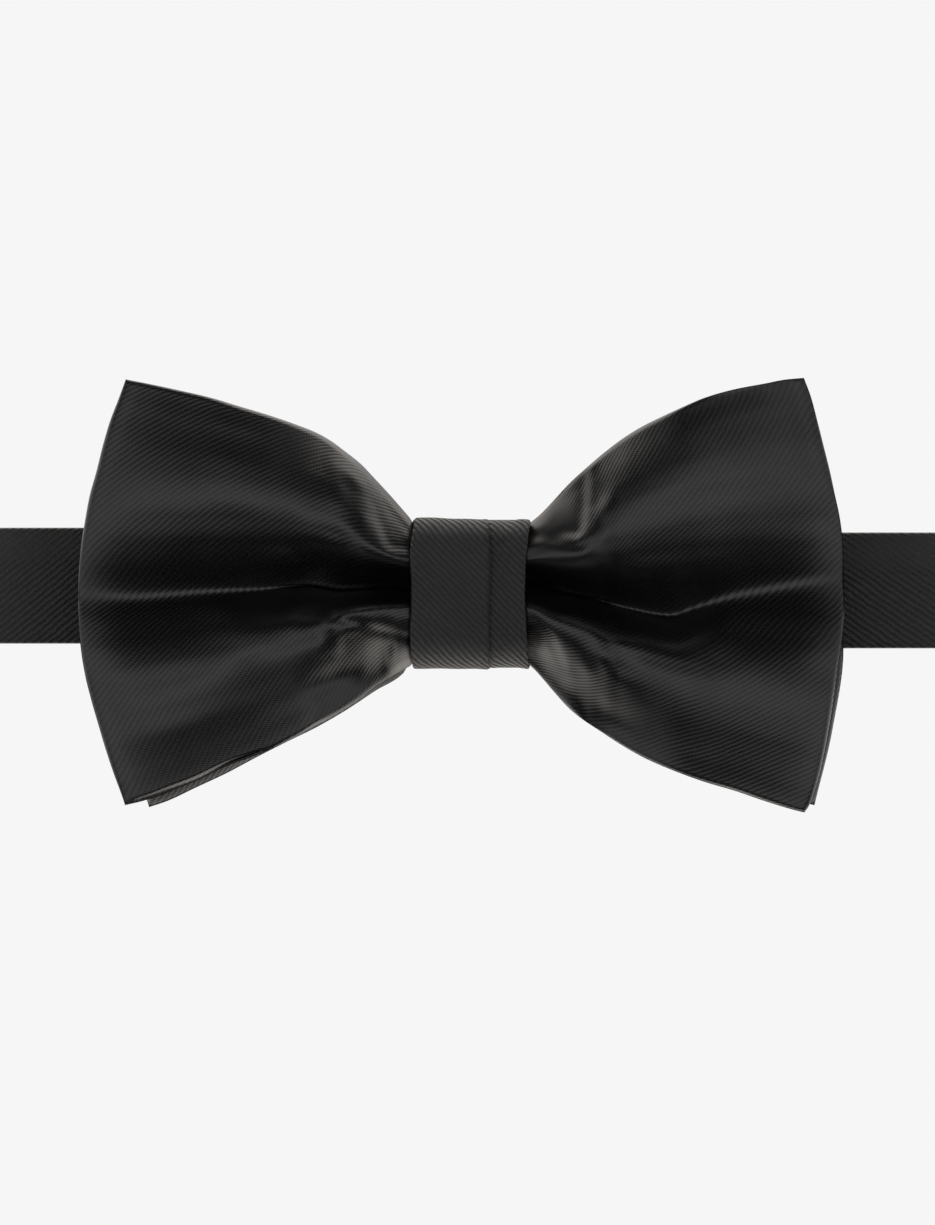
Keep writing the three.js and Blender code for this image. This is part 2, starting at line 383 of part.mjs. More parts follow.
// ---------------------------------------------------------------- the metal fittings
{
  // Eye: a bar that the left strap turns round, two rails, a web, and a window that takes the hook.
  const x = EYE_X, z = LEFT_Z, out = [[x, -RAIL_OUT], [x + 8, -RAIL_OUT], [x + 11, -9.6], [x + 12, -8.2], [x + 12, 8.2], [x + 11, 9.6], [x + 8, RAIL_OUT], [x, RAIL_OUT]].map((p) => [p[0], p[1] + z]);
  let s = toSolid(riseY(out, BAR_Y - PLATE_T / 2, BAR_Y + PLATE_T / 2));
  s = s.subtract(toSolid(box(x - 1, x + 2.6, BAR_Y - 2, BAR_Y + 2, z - RAIL_IN, z + RAIL_IN)));
  s = s.subtract(toSolid(box(x + 4.6, x + 10, BAR_Y - 2, BAR_Y + 2, z - 6.8, z + 6.8)));
  s = s.add(toSolid(barZ(x, BAR_Y, BAR_R, z - 10.6, z + 10.6)));
  for (const e of [-1, 1]) s = s.add(toSolid(barZ(x, BAR_Y, 0.95, z + (e < 0 ? -RAIL_OUT : RAIL_IN), z + (e < 0 ? -RAIL_IN : RAIL_OUT))));
  add("eye_plate", toGeometry(s), nickel);
}
{
  // Hook: the same bar and rails, and a tongue that steps outwards and turns back on itself.
  const x = HOOK_X, z = RIGHT_Z, out = [[x, -RAIL_OUT], [x, RAIL_OUT], [x - 5, RAIL_OUT], [x - 8.6, 6.4], [x - 8.6, -6.4], [x - 5, -RAIL_OUT]].map((p) => [p[0], p[1] + z]).reverse();
  let s = toSolid(riseY(out, BAR_Y - PLATE_T / 2, BAR_Y + PLATE_T / 2));
  s = s.subtract(toSolid(box(x - 2.6, x + 1, BAR_Y - 2, BAR_Y + 2, z - RAIL_IN, z + RAIL_IN)));
  s = s.add(toSolid(barZ(x, BAR_Y, BAR_R, z - 10.6, z + 10.6)));
  for (const e of [-1, 1]) s = s.add(toSolid(barZ(x, BAR_Y, 0.95, z + (e < 0 ? -RAIL_OUT : RAIL_IN), z + (e < 0 ? -RAIL_IN : RAIL_OUT))));
  const tongue = rounded([[x - 7.4, BAR_Y], [x - 9.2, BAR_Y], [x - 10.6, BAR_Y + 1.3], [x - 16.5, BAR_Y + 1.3], [x - 16.5, BAR_Y - 1.3], [x - 12.9, BAR_Y - 1.3]], [0.8, 0.8, 0.8, 0.8], 4);
  s = s.add(toSolid(riseZ(strip(tongue, 0.9), z - 5.4, z + 5.4)));
  add("hook_plate", toGeometry(s), nickel);
}
{
  // Slider: the strap runs under its two outer bars, and the strap's end is sewn round the middle bar, which is set in.
  const x = SLIDER_X, z = RIGHT_Z, top = REAR_Y + BAND_T / 2 + 0.2;
  const side = [[x - 5, top + 0.9], [x - 5, top], [x - 1.3, SLIDE_Y - 0.7], [x + 1.3, SLIDE_Y - 0.7], [x + 5, top], [x + 5, top + 0.9]];
  let s = toSolid(riseZ(side, z - RAIL_OUT, z - RAIL_IN)).add(toSolid(riseZ(side, z + RAIL_IN, z + RAIL_OUT)));
  s = s.add(toSolid(box(x - 5, x - 3.4, top, top + 0.9, z - RAIL_OUT, z + RAIL_OUT))).add(toSolid(box(x + 3.4, x + 5, top, top + 0.9, z - RAIL_OUT, z + RAIL_OUT)));
  s = s.add(toSolid(barZ(x, SLIDE_Y, 0.5, z - RAIL_OUT + 0.2, z + RAIL_OUT - 0.2, 12)));
  add("slider_frame", toGeometry(s), nickel);
}

export default bowTie;
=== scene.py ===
"""Looks for the black satin bow tie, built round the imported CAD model. Blender 4.5."""
import math

import bpy
import numpy as np
from mathutils import Matrix, Vector


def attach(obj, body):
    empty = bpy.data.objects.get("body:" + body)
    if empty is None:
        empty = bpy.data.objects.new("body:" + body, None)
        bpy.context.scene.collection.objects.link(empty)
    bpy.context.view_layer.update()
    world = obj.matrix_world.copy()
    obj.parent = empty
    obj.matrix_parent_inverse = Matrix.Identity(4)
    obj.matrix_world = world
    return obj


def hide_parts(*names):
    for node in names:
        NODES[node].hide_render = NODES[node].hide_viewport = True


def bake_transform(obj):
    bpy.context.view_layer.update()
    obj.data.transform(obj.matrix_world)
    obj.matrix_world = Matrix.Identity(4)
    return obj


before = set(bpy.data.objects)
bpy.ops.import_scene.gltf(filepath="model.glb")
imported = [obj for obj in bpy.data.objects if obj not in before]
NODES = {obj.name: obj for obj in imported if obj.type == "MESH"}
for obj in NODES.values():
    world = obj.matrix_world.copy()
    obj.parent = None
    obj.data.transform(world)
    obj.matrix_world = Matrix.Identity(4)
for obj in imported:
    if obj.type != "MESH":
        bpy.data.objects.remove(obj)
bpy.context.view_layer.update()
MM = 0.001
scene = bpy.context.scene


# ---------------------------------------------------------------- numbers
def smooth(table, x):
    """A monotone cubic through [x, value] pairs, level beyond both ends."""
    t = np.array(table, float)
    X, Y = t[:, 0], t[:, 1]
    h = np.diff(X)
    d = np.diff(Y) / h
    m = np.zeros(len(X))
    m[0], m[-1] = d[0], d[-1]
    for i in range(1, len(X) - 1):
        if d[i - 1] * d[i] > 0:
            w1, w2 = 2 * h[i] + h[i - 1], h[i] + 2 * h[i - 1]
            m[i] = (w1 + w2) / (w1 / d[i - 1] + w2 / d[i])
    x = np.clip(np.asarray(x, float), X[0], X[-1])
    i = np.clip(np.searchsorted(X, x, side="right") - 1, 0, len(X) - 2)
    s = (x - X[i]) / h[i]
    return (
        (2 * s**3 - 3 * s**2 + 1) * Y[i]
        + (s**3 - 2 * s**2 + s) * h[i] * m[i]
        + (-2 * s**3 + 3 * s**2) * Y[i + 1]
        + (s**3 - s**2) * h[i] * m[i + 1]
    )


def step(a, b, x):
    t = np.clip((np.asarray(x, float) - a) / (b - a), 0, 1)
    return t * t * (3 - 2 * t)


def along(points, n):
    """n points spaced evenly along a polyline."""
    p = np.array(points, float)
    L = np.r_[0, np.cumsum(np.linalg.norm(np.diff(p, axis=0), axis=1))]
    t = np.linspace(0, L[-1], n)
    return np.stack([smooth(np.c_[L, p[:, k]], t) for k in range(p.shape[1])], 1)


def near(points, x, z):
    """Distance to a polyline in X and Z, and how far along it the nearest point is, from 0 to 1."""
    p = np.array(points, float)
    L = np.r_[0, np.cumsum(np.linalg.norm(np.diff(p, axis=0), axis=1))]
    best, where = np.full(x.shape, 1e9), np.zeros(x.shape)
    for i in range(len(p) - 1):
        a, d = p[i], p[i + 1] - p[i]
        t = np.clip(((x - a[0]) * d[0] + (z - a[1]) * d[1]) / (d @ d), 0, 1)
        r = np.hypot(x - a[0] - t * d[0], z - a[1] - t * d[1])
        closer = r < best
        best = np.where(closer, r, best)
        where = np.where(closer, (L[i] + t * (L[i + 1] - L[i])) / L[-1], where)
    return best, where


# ---------------------------------------------------------------- meshes
def mesh_object(name, verts, faces, weave=None, sharp=()):
    me = bpy.data.meshes.new(name)
    me.from_pydata([tuple(v) for v in np.asarray(verts, float) * MM], [], [tuple(int(k) for k in f) for f in faces])
    me.polygons.foreach_set("use_smooth", [True] * len(me.polygons))
    if weave is not None:
        a = me.attributes.new("weave", "FLOAT_VECTOR", "POINT")
        a.data.foreach_set("vector", np.asarray(weave, np.float32).ravel())
    me.validate()
    me.update()
    o = bpy.data.objects.new(name, me)
    scene.collection.objects.link(o)
    return o


def normals_of(P):
    """Unit normals of a grid of points [i, j, 3], out of the side where i x j points."""
    du = np.gradient(P, axis=0)
    dv = np.gradient(P, axis=1)
    n = np.cross(du, dv)
    return n / np.maximum(np.linalg.norm(n, axis=2, keepdims=True), 1e-12)


def slab(name, outer, inner, weave, close_u=False):
    """A closed piece between two grids [i, j, 3]; outer's normals point out. close_u joins the last column to the first."""
    nu, nv = outer.shape[:2]
    V = np.concatenate([outer.reshape(-1, 3), inner.reshape(-1, 3)])
    W = np.concatenate([weave.reshape(-1, 3), weave.reshape(-1, 3)])
    I, J = np.arange(nu), np.arange(nv)
    a = (I[:, None] * nv + J[None, :])
    F = []
    iu = I if close_u else I[:-1]
    ju = np.arange(nv - 1)
    p = a[iu][:, ju].ravel()
    q = a[(iu + 1) % nu][:, ju].ravel()
    r = a[(iu + 1) % nu][:, ju + 1].ravel()
    s = a[iu][:, ju + 1].ravel()
    o = nu * nv
    F += list(np.stack([p, q, r, s], 1))
    F += list(np.stack([p + o, s + o, r + o, q + o], 1))
    for j, flip in ((0, False), (nv - 1, True)):
        b, c = a[iu, j], a[(iu + 1) % nu, j]
        quad = np.stack([b + o, c + o, c, b], 1)
        F += list(quad[:, ::-1] if flip else quad)
    if not close_u:
        for i, flip in ((0, True), (nu - 1, False)):
            b, c = a[i, :-1], a[i, 1:]
            quad = np.stack([b + o, c + o, c, b], 1)
            F += list(quad[:, ::-1] if flip else quad)
    return mesh_object(name, V, F, W)


# ---------------------------------------------------------------- materials
def new_material(name):
    m = bpy.data.materials.new(name)
    m.use_nodes = True
    nt = m.node_tree
    nt.nodes.clear()
    out = nt.nodes.new("ShaderNodeOutputMaterial")
    bs = nt.nodes.new("ShaderNodeBsdfPrincipled")
    nt.links.new(bs.outputs["BSDF"], out.inputs["Surface"])
    return m, nt, bs


class Nodes:
    """Short ways to write a node tree."""

    def __init__(self, nt):
        self.nt = nt

    def put(self, socket, value):
        if isinstance(value, bpy.types.NodeSocket):
            self.nt.links.new(value, socket)
        else:
            socket.default_value = value

    def math(self, op, a, b=0.0, c=0.0):
        n = self.nt.nodes.new("ShaderNodeMath")
        n.operation = op
        for s, v in zip(n.inputs, (a, b, c)):
            self.put(s, v)
        return n.outputs[0]

    def vec(self, op, a, b=(0, 0, 0), scale=1.0):
        n = self.nt.nodes.new("ShaderNodeVectorMath")
        n.operation = op
        self.put(n.inputs[0], a)
        if op == "SCALE":
            self.put(n.inputs["Scale"], scale)
        else:
            self.put(n.inputs[1], b)
        return n.outputs["Value"] if op == "DOT_PRODUCT" else n.outputs["Vector"]

    def noise(self, vector, scale, detail=2.0, rough=0.5):
        n = self.nt.nodes.new("ShaderNodeTexNoise")
        self.put(n.inputs["Vector"], vector)
        n.inputs["Scale"].default_value = scale
        n.inputs["Detail"].default_value = detail
        n.inputs["Roughness"].default_value = rough
        return n.outputs["Fac"]

    def ramp(self, value, stops):
        n = self.nt.nodes.new("ShaderNodeValToRGB")
        self.put(n.inputs["Fac"], value)
        e = n.color_ramp.elements
        while len(e) < len(stops):
            e.new(0.5)
        for k, (p, c) in zip(e, stops):
            k.position = p
            k.color = c if len(c) == 4 else (*c, 1)
        return n.outputs["Color"]

    def spread(self, value, a0, a1, b0, b1):
        n = self.nt.nodes.new("ShaderNodeMapRange")
        for s, v in zip(n.inputs, (value, a0, a1, b0, b1)):
            self.put(s, v)
        return n.outputs["Result"]

    def attribute(self, name):
        n = self.nt.nodes.new("ShaderNodeAttribute")
        n.attribute_name = name
        return n.outputs["Vector"]

    def bump(self, height, distance, strength=1.0, normal=None):
        n = self.nt.nodes.new("ShaderNodeBump")
        self.put(n.inputs["Height"], height)
        n.inputs["Distance"].default_value = distance
        n.inputs["Strength"].default_value = strength
        if normal is not None:
            self.put(n.inputs["Normal"], normal)
        return n.outputs["Normal"]


def satin(name, low, high, rough, angle, pitch=0.75, relief=1.0, specular=0.5, contrast=0.1):
    """Satin twill: ribs of the given pitch in mm, at angle degrees from the cloth's length, with fine yarns across them."""
    m, nt, bs = new_material(name)
    k = Nodes(nt)
    w = k.attribute("weave")
    c, s = math.cos(math.radians(angle)), math.sin(math.radians(angle))
    # a little wander in the ribs, as in real yarn
    wander = k.noise(w, 0.35, 2.0)
    across = k.vec("DOT_PRODUCT", w, (-s, c, 0.0))
    along_rib = k.vec("DOT_PRODUCT", w, (c, s, 0.0))
    phase = k.math("MULTIPLY_ADD", wander, 0.5, k.math("DIVIDE", across, pitch))
    wave = k.math("SINE", k.math("MULTIPLY", phase, 2 * math.pi))
    rib = k.math("MULTIPLY_ADD", wave, 0.5, 0.5)
    ridge = k.math("POWER", rib, 0.6)
    # yarns lying across each rib, staggered from one rib to the next
    yarn = k.math("SINE", k.math("MULTIPLY_ADD", along_rib, 2 * math.pi / 0.40, k.math("MULTIPLY", k.math("FLOOR", phase), 2.4)))
    yarn = k.math("MULTIPLY_ADD", yarn, 0.5, 0.5)
    grain = k.noise(w, 2.6, 3.0, 0.65)
    height = k.math("ADD", k.math("MULTIPLY", ridge, 1.0), k.math("ADD", k.math("MULTIPLY", yarn, 0.30), k.math("MULTIPLY", grain, 0.62)))
    # the base colour is lighter on the rib and yarn crests and darker in the troughs between them: painted shade in the
    # troughs, with random grain mixed into the tone
    tone = k.math("ADD", k.math("MULTIPLY", ridge, 0.6), k.math("ADD", k.math("MULTIPLY", yarn, 0.16), k.math("MULTIPLY", k.spread(grain, 0.3, 0.7, 0.0, 1.0), 0.28)))
    k.put(bs.inputs["Base Color"], k.ramp(tone, [(0.1, low), (0.95, high)]))
    k.put(bs.inputs["Roughness"], k.spread(tone, 0.15, 0.9, rough + contrast, rough - 0.3 * contrast))
    bs.inputs["Specular IOR Level"].default_value = specular
    k.put(bs.inputs["Normal"], k.bump(height, 0.00006 * relief))
    return m


def plain_cloth(name, low, high, rough=0.85, pitch=0.5):
    m, nt, bs = new_material(name)
    k = Nodes(nt)
    tc = nt.nodes.new("ShaderNodeTexCoord").outputs["Object"]
    w = k.vec("SCALE", tc, scale=1000.0)
    sep = nt.nodes.new("ShaderNodeSeparateXYZ")
    k.put(sep.inputs[0], w)
    f = 2 * math.pi / pitch
    a = k.math("SINE", k.math("MULTIPLY", sep.outputs["X"], f))
    b = k.math("SINE", k.math("MULTIPLY", sep.outputs["Z"], f))
    weave = k.math("MULTIPLY_ADD", k.math("MULTIPLY", a, b), 0.5, 0.5)
    grain = k.noise(w, 1.6, 3.0, 0.6)
    tone = k.math("ADD", k.math("MULTIPLY", weave, 0.5), k.math("MULTIPLY", grain, 0.5))
    k.put(bs.inputs["Base Color"], k.ramp(tone, [(0.2, low), (0.8, high)]))
    bs.inputs["Roughness"].default_value = rough
    bs.inputs["Specular IOR Level"].default_value = 0.3
    k.put(bs.inputs["Normal"], k.bump(tone, 0.00005))
    return m


def thread_material(name, low, high):
    m, nt, bs = new_material(name)
    k = Nodes(nt)
    tc = nt.nodes.new("ShaderNodeTexCoord").outputs["Object"]
    w = k.vec("SCALE", tc, scale=1000.0)
    f = k.vec("DOT_PRODUCT", w, (1.0, 0.3, 1.3))
    twist = k.math("MULTIPLY_ADD", k.math("SINE", k.math("MULTIPLY", f, 18.0)), 0.5, 0.5)
    grain = k.noise(w, 6.0, 2.0)
    tone = k.math("ADD", k.math("MULTIPLY", twist, 0.6), k.math("MULTIPLY", grain, 0.4))
    k.put(bs.inputs["Base Color"], k.ramp(tone, [(0.1, low), (0.9, high)]))
    k.put(bs.inputs["Roughness"], k.spread(tone, 0.0, 1.0, 0.62, 0.42))
    k.put(bs.inputs["Normal"], k.bump(tone, 0.00004))
    return m


def nickel_material(name):
    m, nt, bs = new_material(name)
    k = Nodes(nt)
    tc = nt.nodes.new("ShaderNodeTexCoord").outputs["Object"]
    w = k.vec("SCALE", tc, scale=1000.0)
    stretched = k.vec("MULTIPLY", w, (0.5, 3.0, 3.0))
    brushed = k.noise(stretched, 1.8, 4.0, 0.65)
    smear = k.noise(w, 0.25, 3.0)
    tone = k.math("ADD", k.math("MULTIPLY", brushed, 0.45), k.math("MULTIPLY", smear, 0.55))
    k.put(bs.inputs["Base Color"], k.ramp(tone, [(0.3, (0.56, 0.55, 0.53)), (0.7, (0.68, 0.67, 0.65))]))
    bs.inputs["Metallic"].default_value = 1.0
    k.put(bs.inputs["Roughness"], k.spread(tone, 0.3, 0.7, 0.17, 0.3))
    k.put(bs.inputs["Normal"], k.bump(brushed, 0.000006))
    return m


# black satin base colours: the low one lies in the rib troughs as painted shade, the high one on the crests
BLACK_LOW, BLACK_HIGH = (0.0010, 0.0010, 0.0011), (0.0030, 0.0030, 0.0033)
WING = satin("satin_twill_bow", BLACK_LOW, BLACK_HIGH, 0.33, 45.0, 0.75, 0.4, 0.52, 0.13)
BACK = satin("satin_twill_back", BLACK_LOW, BLACK_HIGH, 0.42, 45.0, 0.75, 0.4, 0.45, 0.13)
KNOT = satin("satin_twill_knot", BLACK_LOW, (0.0042, 0.0042, 0.0045), 0.56, -45.0, 0.77, 4.6, 0.88, 0.22)
STRAP_L = satin("satin_twill_strap_left", BLACK_LOW, (0.0042, 0.0042, 0.0045), 0.5, -39.0, 0.85, 1.9, 0.56, 0.13)
STRAP_R = satin("satin_twill_strap_right", BLACK_LOW, (0.0042, 0.0042, 0.0045), 0.5, -34.0, 0.88, 1.9, 0.54, 0.13)
LINING = plain_cloth("woven_interlining", (0.03, 0.03, 0.031), (0.09, 0.09, 0.092))
LABEL = satin("label_ribbon", (0.012, 0.012, 0.014), (0.03, 0.03, 0.034), 0.38, 90.0, 0.35, 0.5, 0.4)
THREAD = thread_material("sewing_thread", (0.004, 0.004, 0.0045), (0.016, 0.016, 0.017))
NICKEL = nickel_material("nickel_plate")


def wear(o, material):
    o.data.materials.clear()
    o.data.materials.append(material)


# ---------------------------------------------------------------- the bows
# Outlines in mm: distance from the middle, height. The end runs from its bottom corner to its top corner.
FRONT = {
    -1: {
        "top": [(0, 8.7), (5, 8.8), (8.5, 9.3), (9.35, 10.7), (10.35, 11.9), (12.7, 14.6), (15.1, 17.2), (17.4, 19.6), (19.8, 21.5), (22.1, 23.2), (24.5, 24.5), (26.8, 25.4), (31.5, 27), (36.2, 28.4), (40.9, 29.8), (45.6, 30.9), (50.3, 31.9), (53.96, 32.6)],
        "bottom": [(0, -10.5), (5, -10.6), (8.5, -11.1), (9.35, -12.1), (10.35, -12.7), (12.7, -14), (15.1, -15.5), (17.4, -17.4), (19.8, -19), (22.1, -20.4), (24.5, -21.6), (26.8, -23), (31.5, -25.3), (33.7, -26.2), (37.6, -27.6), (43.3, -30.3), (47.2, -31.8), (51, -33.2), (53.96, -33.9)],
        "end": [(53.96, -33.9), (54.43, -32.5), (55.84, -28.7), (57.1, -24.9), (58.2, -21.2), (59.3, -17.4), (60.24, -13.6), (60.86, -9.9), (61.25, -5.8), (61.33, -1.9), (61.25, 2), (60.86, 6.7), (60.24, 10.8), (59.6, 14.3), (58.5, 18.3), (57.57, 22.1), (56.47, 25.9), (55.06, 29.6), (53.96, 32.6)],
    },
    1: {
        "top": [(0, 8.7), (5, 8.8), (8.0, 9.2), (8.8, 9.9), (9.73, 10.6), (10.8, 11.5), (13.2, 14), (15.5, 16.5), (17.9, 18.7), (20.2, 20.7), (22.6, 22.6), (24.9, 24.2), (27.3, 25.6), (29.6, 26.7), (32, 27.8), (36.7, 29.8), (41.4, 31.1), (46.1, 32), (49.1, 32.6), (52.1, 32.9)],
        "bottom": [(0, -10.5), (5, -10.6), (8.0, -11.1), (8.8, -11.8), (9.88, -12.7), (10.8, -13.7), (13.2, -16.5), (15.5, -19), (17.9, -20.9), (20.2, -22.4), (22.6, -24), (24.9, -25.4), (27.3, -26.7), (32, -28.7), (36.7, -30.4), (41.4, -31.8), (46.1, -33.4), (50.8, -34.8), (52.1, -35.1)],
        "end": [(52.1, -35.1), (52.86, -34), (54.09, -30.5), (55.53, -24.2), (56.72, -17.1), (57.41, -12.2), (58.12, -7.5), (58.35, -2.7), (58.35, 2), (58.2, 6.7), (57.73, 10.8), (56.94, 14.6), (56.16, 18.3), (55.22, 22.1), (54.27, 25.9), (53.18, 30), (52.1, 32.9)],
    },
}
REAR = {
    -1: {
        "top": [(0, 8.5), (9.35, 9.2), (10.6, 11.4), (15, 16.2), (20, 20.4), (25, 23.4), (31, 25.6), (40, 28.2), (50, 30), (51.5, 30.3)],
        "bottom": [(0, -10.3), (5, -10.5), (9.35, -11.2), (10.35, -13.1), (15.1, -16.2), (19.8, -19.3), (24.5, -22), (29.2, -24.3), (33.9, -26.7), (38.6, -29.2), (43.3, -31.4), (48, -33.6), (50.7, -34.5)],
        "end": [(50.7, -34.5), (54.6, -22.3), (57.6, -11.3), (58.6, -1.9), (58.2, 7.5), (56.2, 18.5), (51.5, 30.3)],
    },
    1: {
        "top": [(0, 8.5), (9.3, 9.2), (10.6, 10.9), (15, 15.2), (20, 19.8), (25, 23.4), (30, 26), (38, 29), (46, 30.4), (51, 30.8)],
        "bottom": [(0, -10.3), (5, -10.5), (9.3, -11.2), (9.9, -12.2), (13.2, -15.7), (20.2, -21.3), (29.6, -26.7), (39.1, -30.1), (48.5, -32.8), (54.1, -34.2)],
        "end": [(54.1, -34.2), (56.94, -22.3), (58.67, -9.7), (58.35, -1.9), (57.25, 7.5), (55.06, 18.5), (51, 30.8)],
    },
}


def bow_columns(outline, side, stations, v):
    """X and Z of a grid over one half, and its top and bottom edges by column."""
    o = outline[side]
    end = along(o["end"], 400)
    w = (v + 1) / 2
    ew = np.linspace(0, 1, 400)
    ex, ez = np.interp(w, ew, end[:, 0]), np.interp(w, ew, end[:, 1])
    top, bottom = o["top"], o["bottom"]
    far = 54.0
    sx = np.asarray(stations, float)
    t = np.clip((sx - 11) / (far - 11), 0, 1)
    xt = np.where(sx <= 11, sx, 11 + t * (top[-1][0] - 11))
    xb = np.where(sx <= 11, sx, 11 + t * (bottom[-1][0] - 11))
    zt, zb = smooth(top, xt), smooth(bottom, xb)
    k = np.clip(sx / far, 0, 1) ** 3
    chord_x = end[0, 0] + w * (end[-1, 0] - end[0, 0])
    chord_z = end[0, 1] + w * (end[-1, 1] - end[0, 1])
    x = xb[:, None] + w[None] * (xt - xb)[:, None] + k[:, None] * (ex - chord_x)[None]
    z = zb[:, None] + w[None] * (zt - zb)[:, None] + k[:, None] * (ez - chord_z)[None]
    return side * x, z, zt, zb


# How far each line of the folds stands in front of the origin, and where it runs, by distance from the middle.
FOLDS = {
    -1: {
        "z1": [(0, 3.2), (5, 3.8), (9, 4.4), (12, 5), (16, 6.8), (20, 9.83), (25, 10.71), (32, 11.62), (40, 12.65), (48, 12.99), (54, 12.39)],
        "zv": [(0, -0.3), (9, -0.19), (12, 0.26), (20, -0.17), (25, 0.49), (32, -0.24), (40, -0.73), (48, -1.41), (54, -1.03)],
        "z2": [(0, -3.4), (9, -3.3), (12, -3.4), (16, -3.8), (19, -4.47), (22.5, -5.68), (25, -6.92), (32, -9.87), (40, -14.58), (48, -17.25), (54, -17.63)],
        "d1": [(0, 14.32), (6.4, 14.32), (8.4, 14.32), (9.5, 15.2), (12, 15.4), (16, 15.9), (22, 15.23), (32, 16.7), (40, 16.7), (48, 15.58), (54, 14.19)],
        "dv": [(0, 14.22), (5.6, 14.22), (7.2, 13.32), (8.3, 11), (9.3, 8.6), (14, 8.2), (22, 7.26), (32, 7.93), (40, 9.52), (48, 10.3), (54, 12.91)],
        "d2": [(0, 14.32), (6.4, 14.32), (8.4, 14.32), (9.5, 15.2), (12, 15.3), (16, 15.7), (20, 14.62), (25, 15.34), (32, 16.13), (40, 16.36), (48, 16.69), (54, 15.6)],
        "dt": [(0, 13.52), (6, 13.52), (8.5, 11.2), (9.6, 10.3), (12, 8.6), (16, 7.4), (20, 7.2), (32, 11.93), (40, 13.12), (48, 12.63), (54, 13.25)],
        "db": [(0, 13.52), (6, 13.52), (8.5, 9.4), (9.6, 7.6), (12, 7.1), (16, 7.9), (20, 9.7), (32, 13.26), (40, 12.85), (48, 14.05), (54, 15.38)],
        "nt": [(0, 1.15), (12, 1.15), (17, 1.6), (24, 1.8), (60, 2)],
        "nb": [(0, 2.4), (13, 2.2), (24, 1.5), (60, 2)],
        "ft": [(0, 0), (16, 0), (34, 1), (60, 1)],
        "fb": [(0, 0), (11, 0), (14, 1), (60, 1)],
        "round": [(0, 0.08), (12, 0.08), (20, 0.14), (26, 0.26), (34, 0.5), (42, 0.62), (54, 0.8)],
        "slit": [(0, 0), (7, 0), (9, 1.7), (20, 1.6), (26, 1), (30, 0), (60, 0)],
    },
    1: {
        "z1": [(0, 3.2), (5, 3.8), (9, 4.7), (12, 4.9), (16, 5.4), (19.4, 6.66), (23, 10.09), (26, 11.28), (34.5, 13.82), (43, 15.1), (54, 18.32)],
        "zv": [(0, -0.3), (9, 1.2), (14, -0.57), (19, -1.51), (25, -3.17), (31, -4.15), (34.5, -2.99), (39.6, -1.24), (44.5, -0.16), (54, 2.02)],
        "z2": [(0, -3.2), (9, -3.6), (12.5, -5.2), (17.7, -6.97), (22.9, -9.25), (26.3, -10.14), (34.6, -11.98), (43, -14.92), (54, -17.64)],
        "d1": [(0, 14.32), (5.5, 14.32), (7.5, 14.32), (8.6, 15.2), (12, 15.4), (16, 15.9), (22, 15.65), (32, 16.59), (40, 15.46), (48, 13.44), (54, 12.17)],
        "dv": [(0, 14.22), (4.7, 14.22), (6.3, 13.32), (7.4, 11), (8.4, 8.6), (14, 8.2), (22, 7.34), (32, 7.38), (40, 9.38), (48, 8.81), (54, 10.34)],
        "d2": [(0, 14.32), (5.5, 14.32), (7.5, 14.32), (8.6, 15.2), (12, 15.3), (16, 15.7), (22, 15.14), (32, 16.55), (40, 14.93), (48, 14.87), (54, 13.95)],
        "dt": [(0, 13.52), (5.1, 13.52), (7.6, 11.4), (8.7, 11), (12, 10.8), (16, 8.6), (20, 8.37), (26, 8.68), (34, 12.5), (42, 13.27), (48, 12.65), (54, 11.61)],
        "db": [(0, 13.52), (5.1, 13.52), (7.6, 10.2), (8.7, 8.8), (12, 7.4), (16, 7.6), (20, 7.98), (26, 9.75), (34, 12.65), (42, 11.02), (48, 11.6), (54, 13.12)],
        "nt": [(0, 2.1), (13, 2), (18, 1.3), (26, 1.7), (60, 2)],
        "nb": [(0, 1), (16, 1.1), (26, 1.6), (60, 2)],
        "ft": [(0, 0), (20, 0), (38, 1), (60, 1)],
        "fb": [(0, 1), (60, 1)],
        "round": [(0, 0.08), (20, 0.12), (28, 0.28), (36, 0.55), (42, 0.75), (54, 0.8)],
        "slit": [(0, 0), (6.1, 0), (8.1, 1.7), (16, 1.6), (21, 0.8), (24, 0), (60, 0)],
    },
}
# Small creases and ridges: line, height in mm (down if negative), half width in mm.
CREASES = {
    -1: [
        ([(-7.5, 6.0), (-10, 6.1), (-12.6, 6.7), (-13.6, 8.6), (-14.7, 11.9), (-15.6, 15.0)], -0.3, 0.8),
        ([(-7.5, -7.8), (-10, -7.6), (-15.2, -6.6), (-17.6, -5.3), (-20.1, -5.2), (-22.0, -7.4), (-22.2, -10.5)], -0.35, 0.8),
    ],
    1: [
        ([(7.5, 8.4), (11.1, 8.0), (14.6, 6.8), (17.0, 6.6), (18.4, 9.1), (19.1, 12.6)], -0.35, 0.9),
        ([(7.5, -5.6), (10.2, -5.6), (11.9, -7.3), (13.2, -9.9), (14.4, -12.6)], -0.35, 0.7),
    ],
}
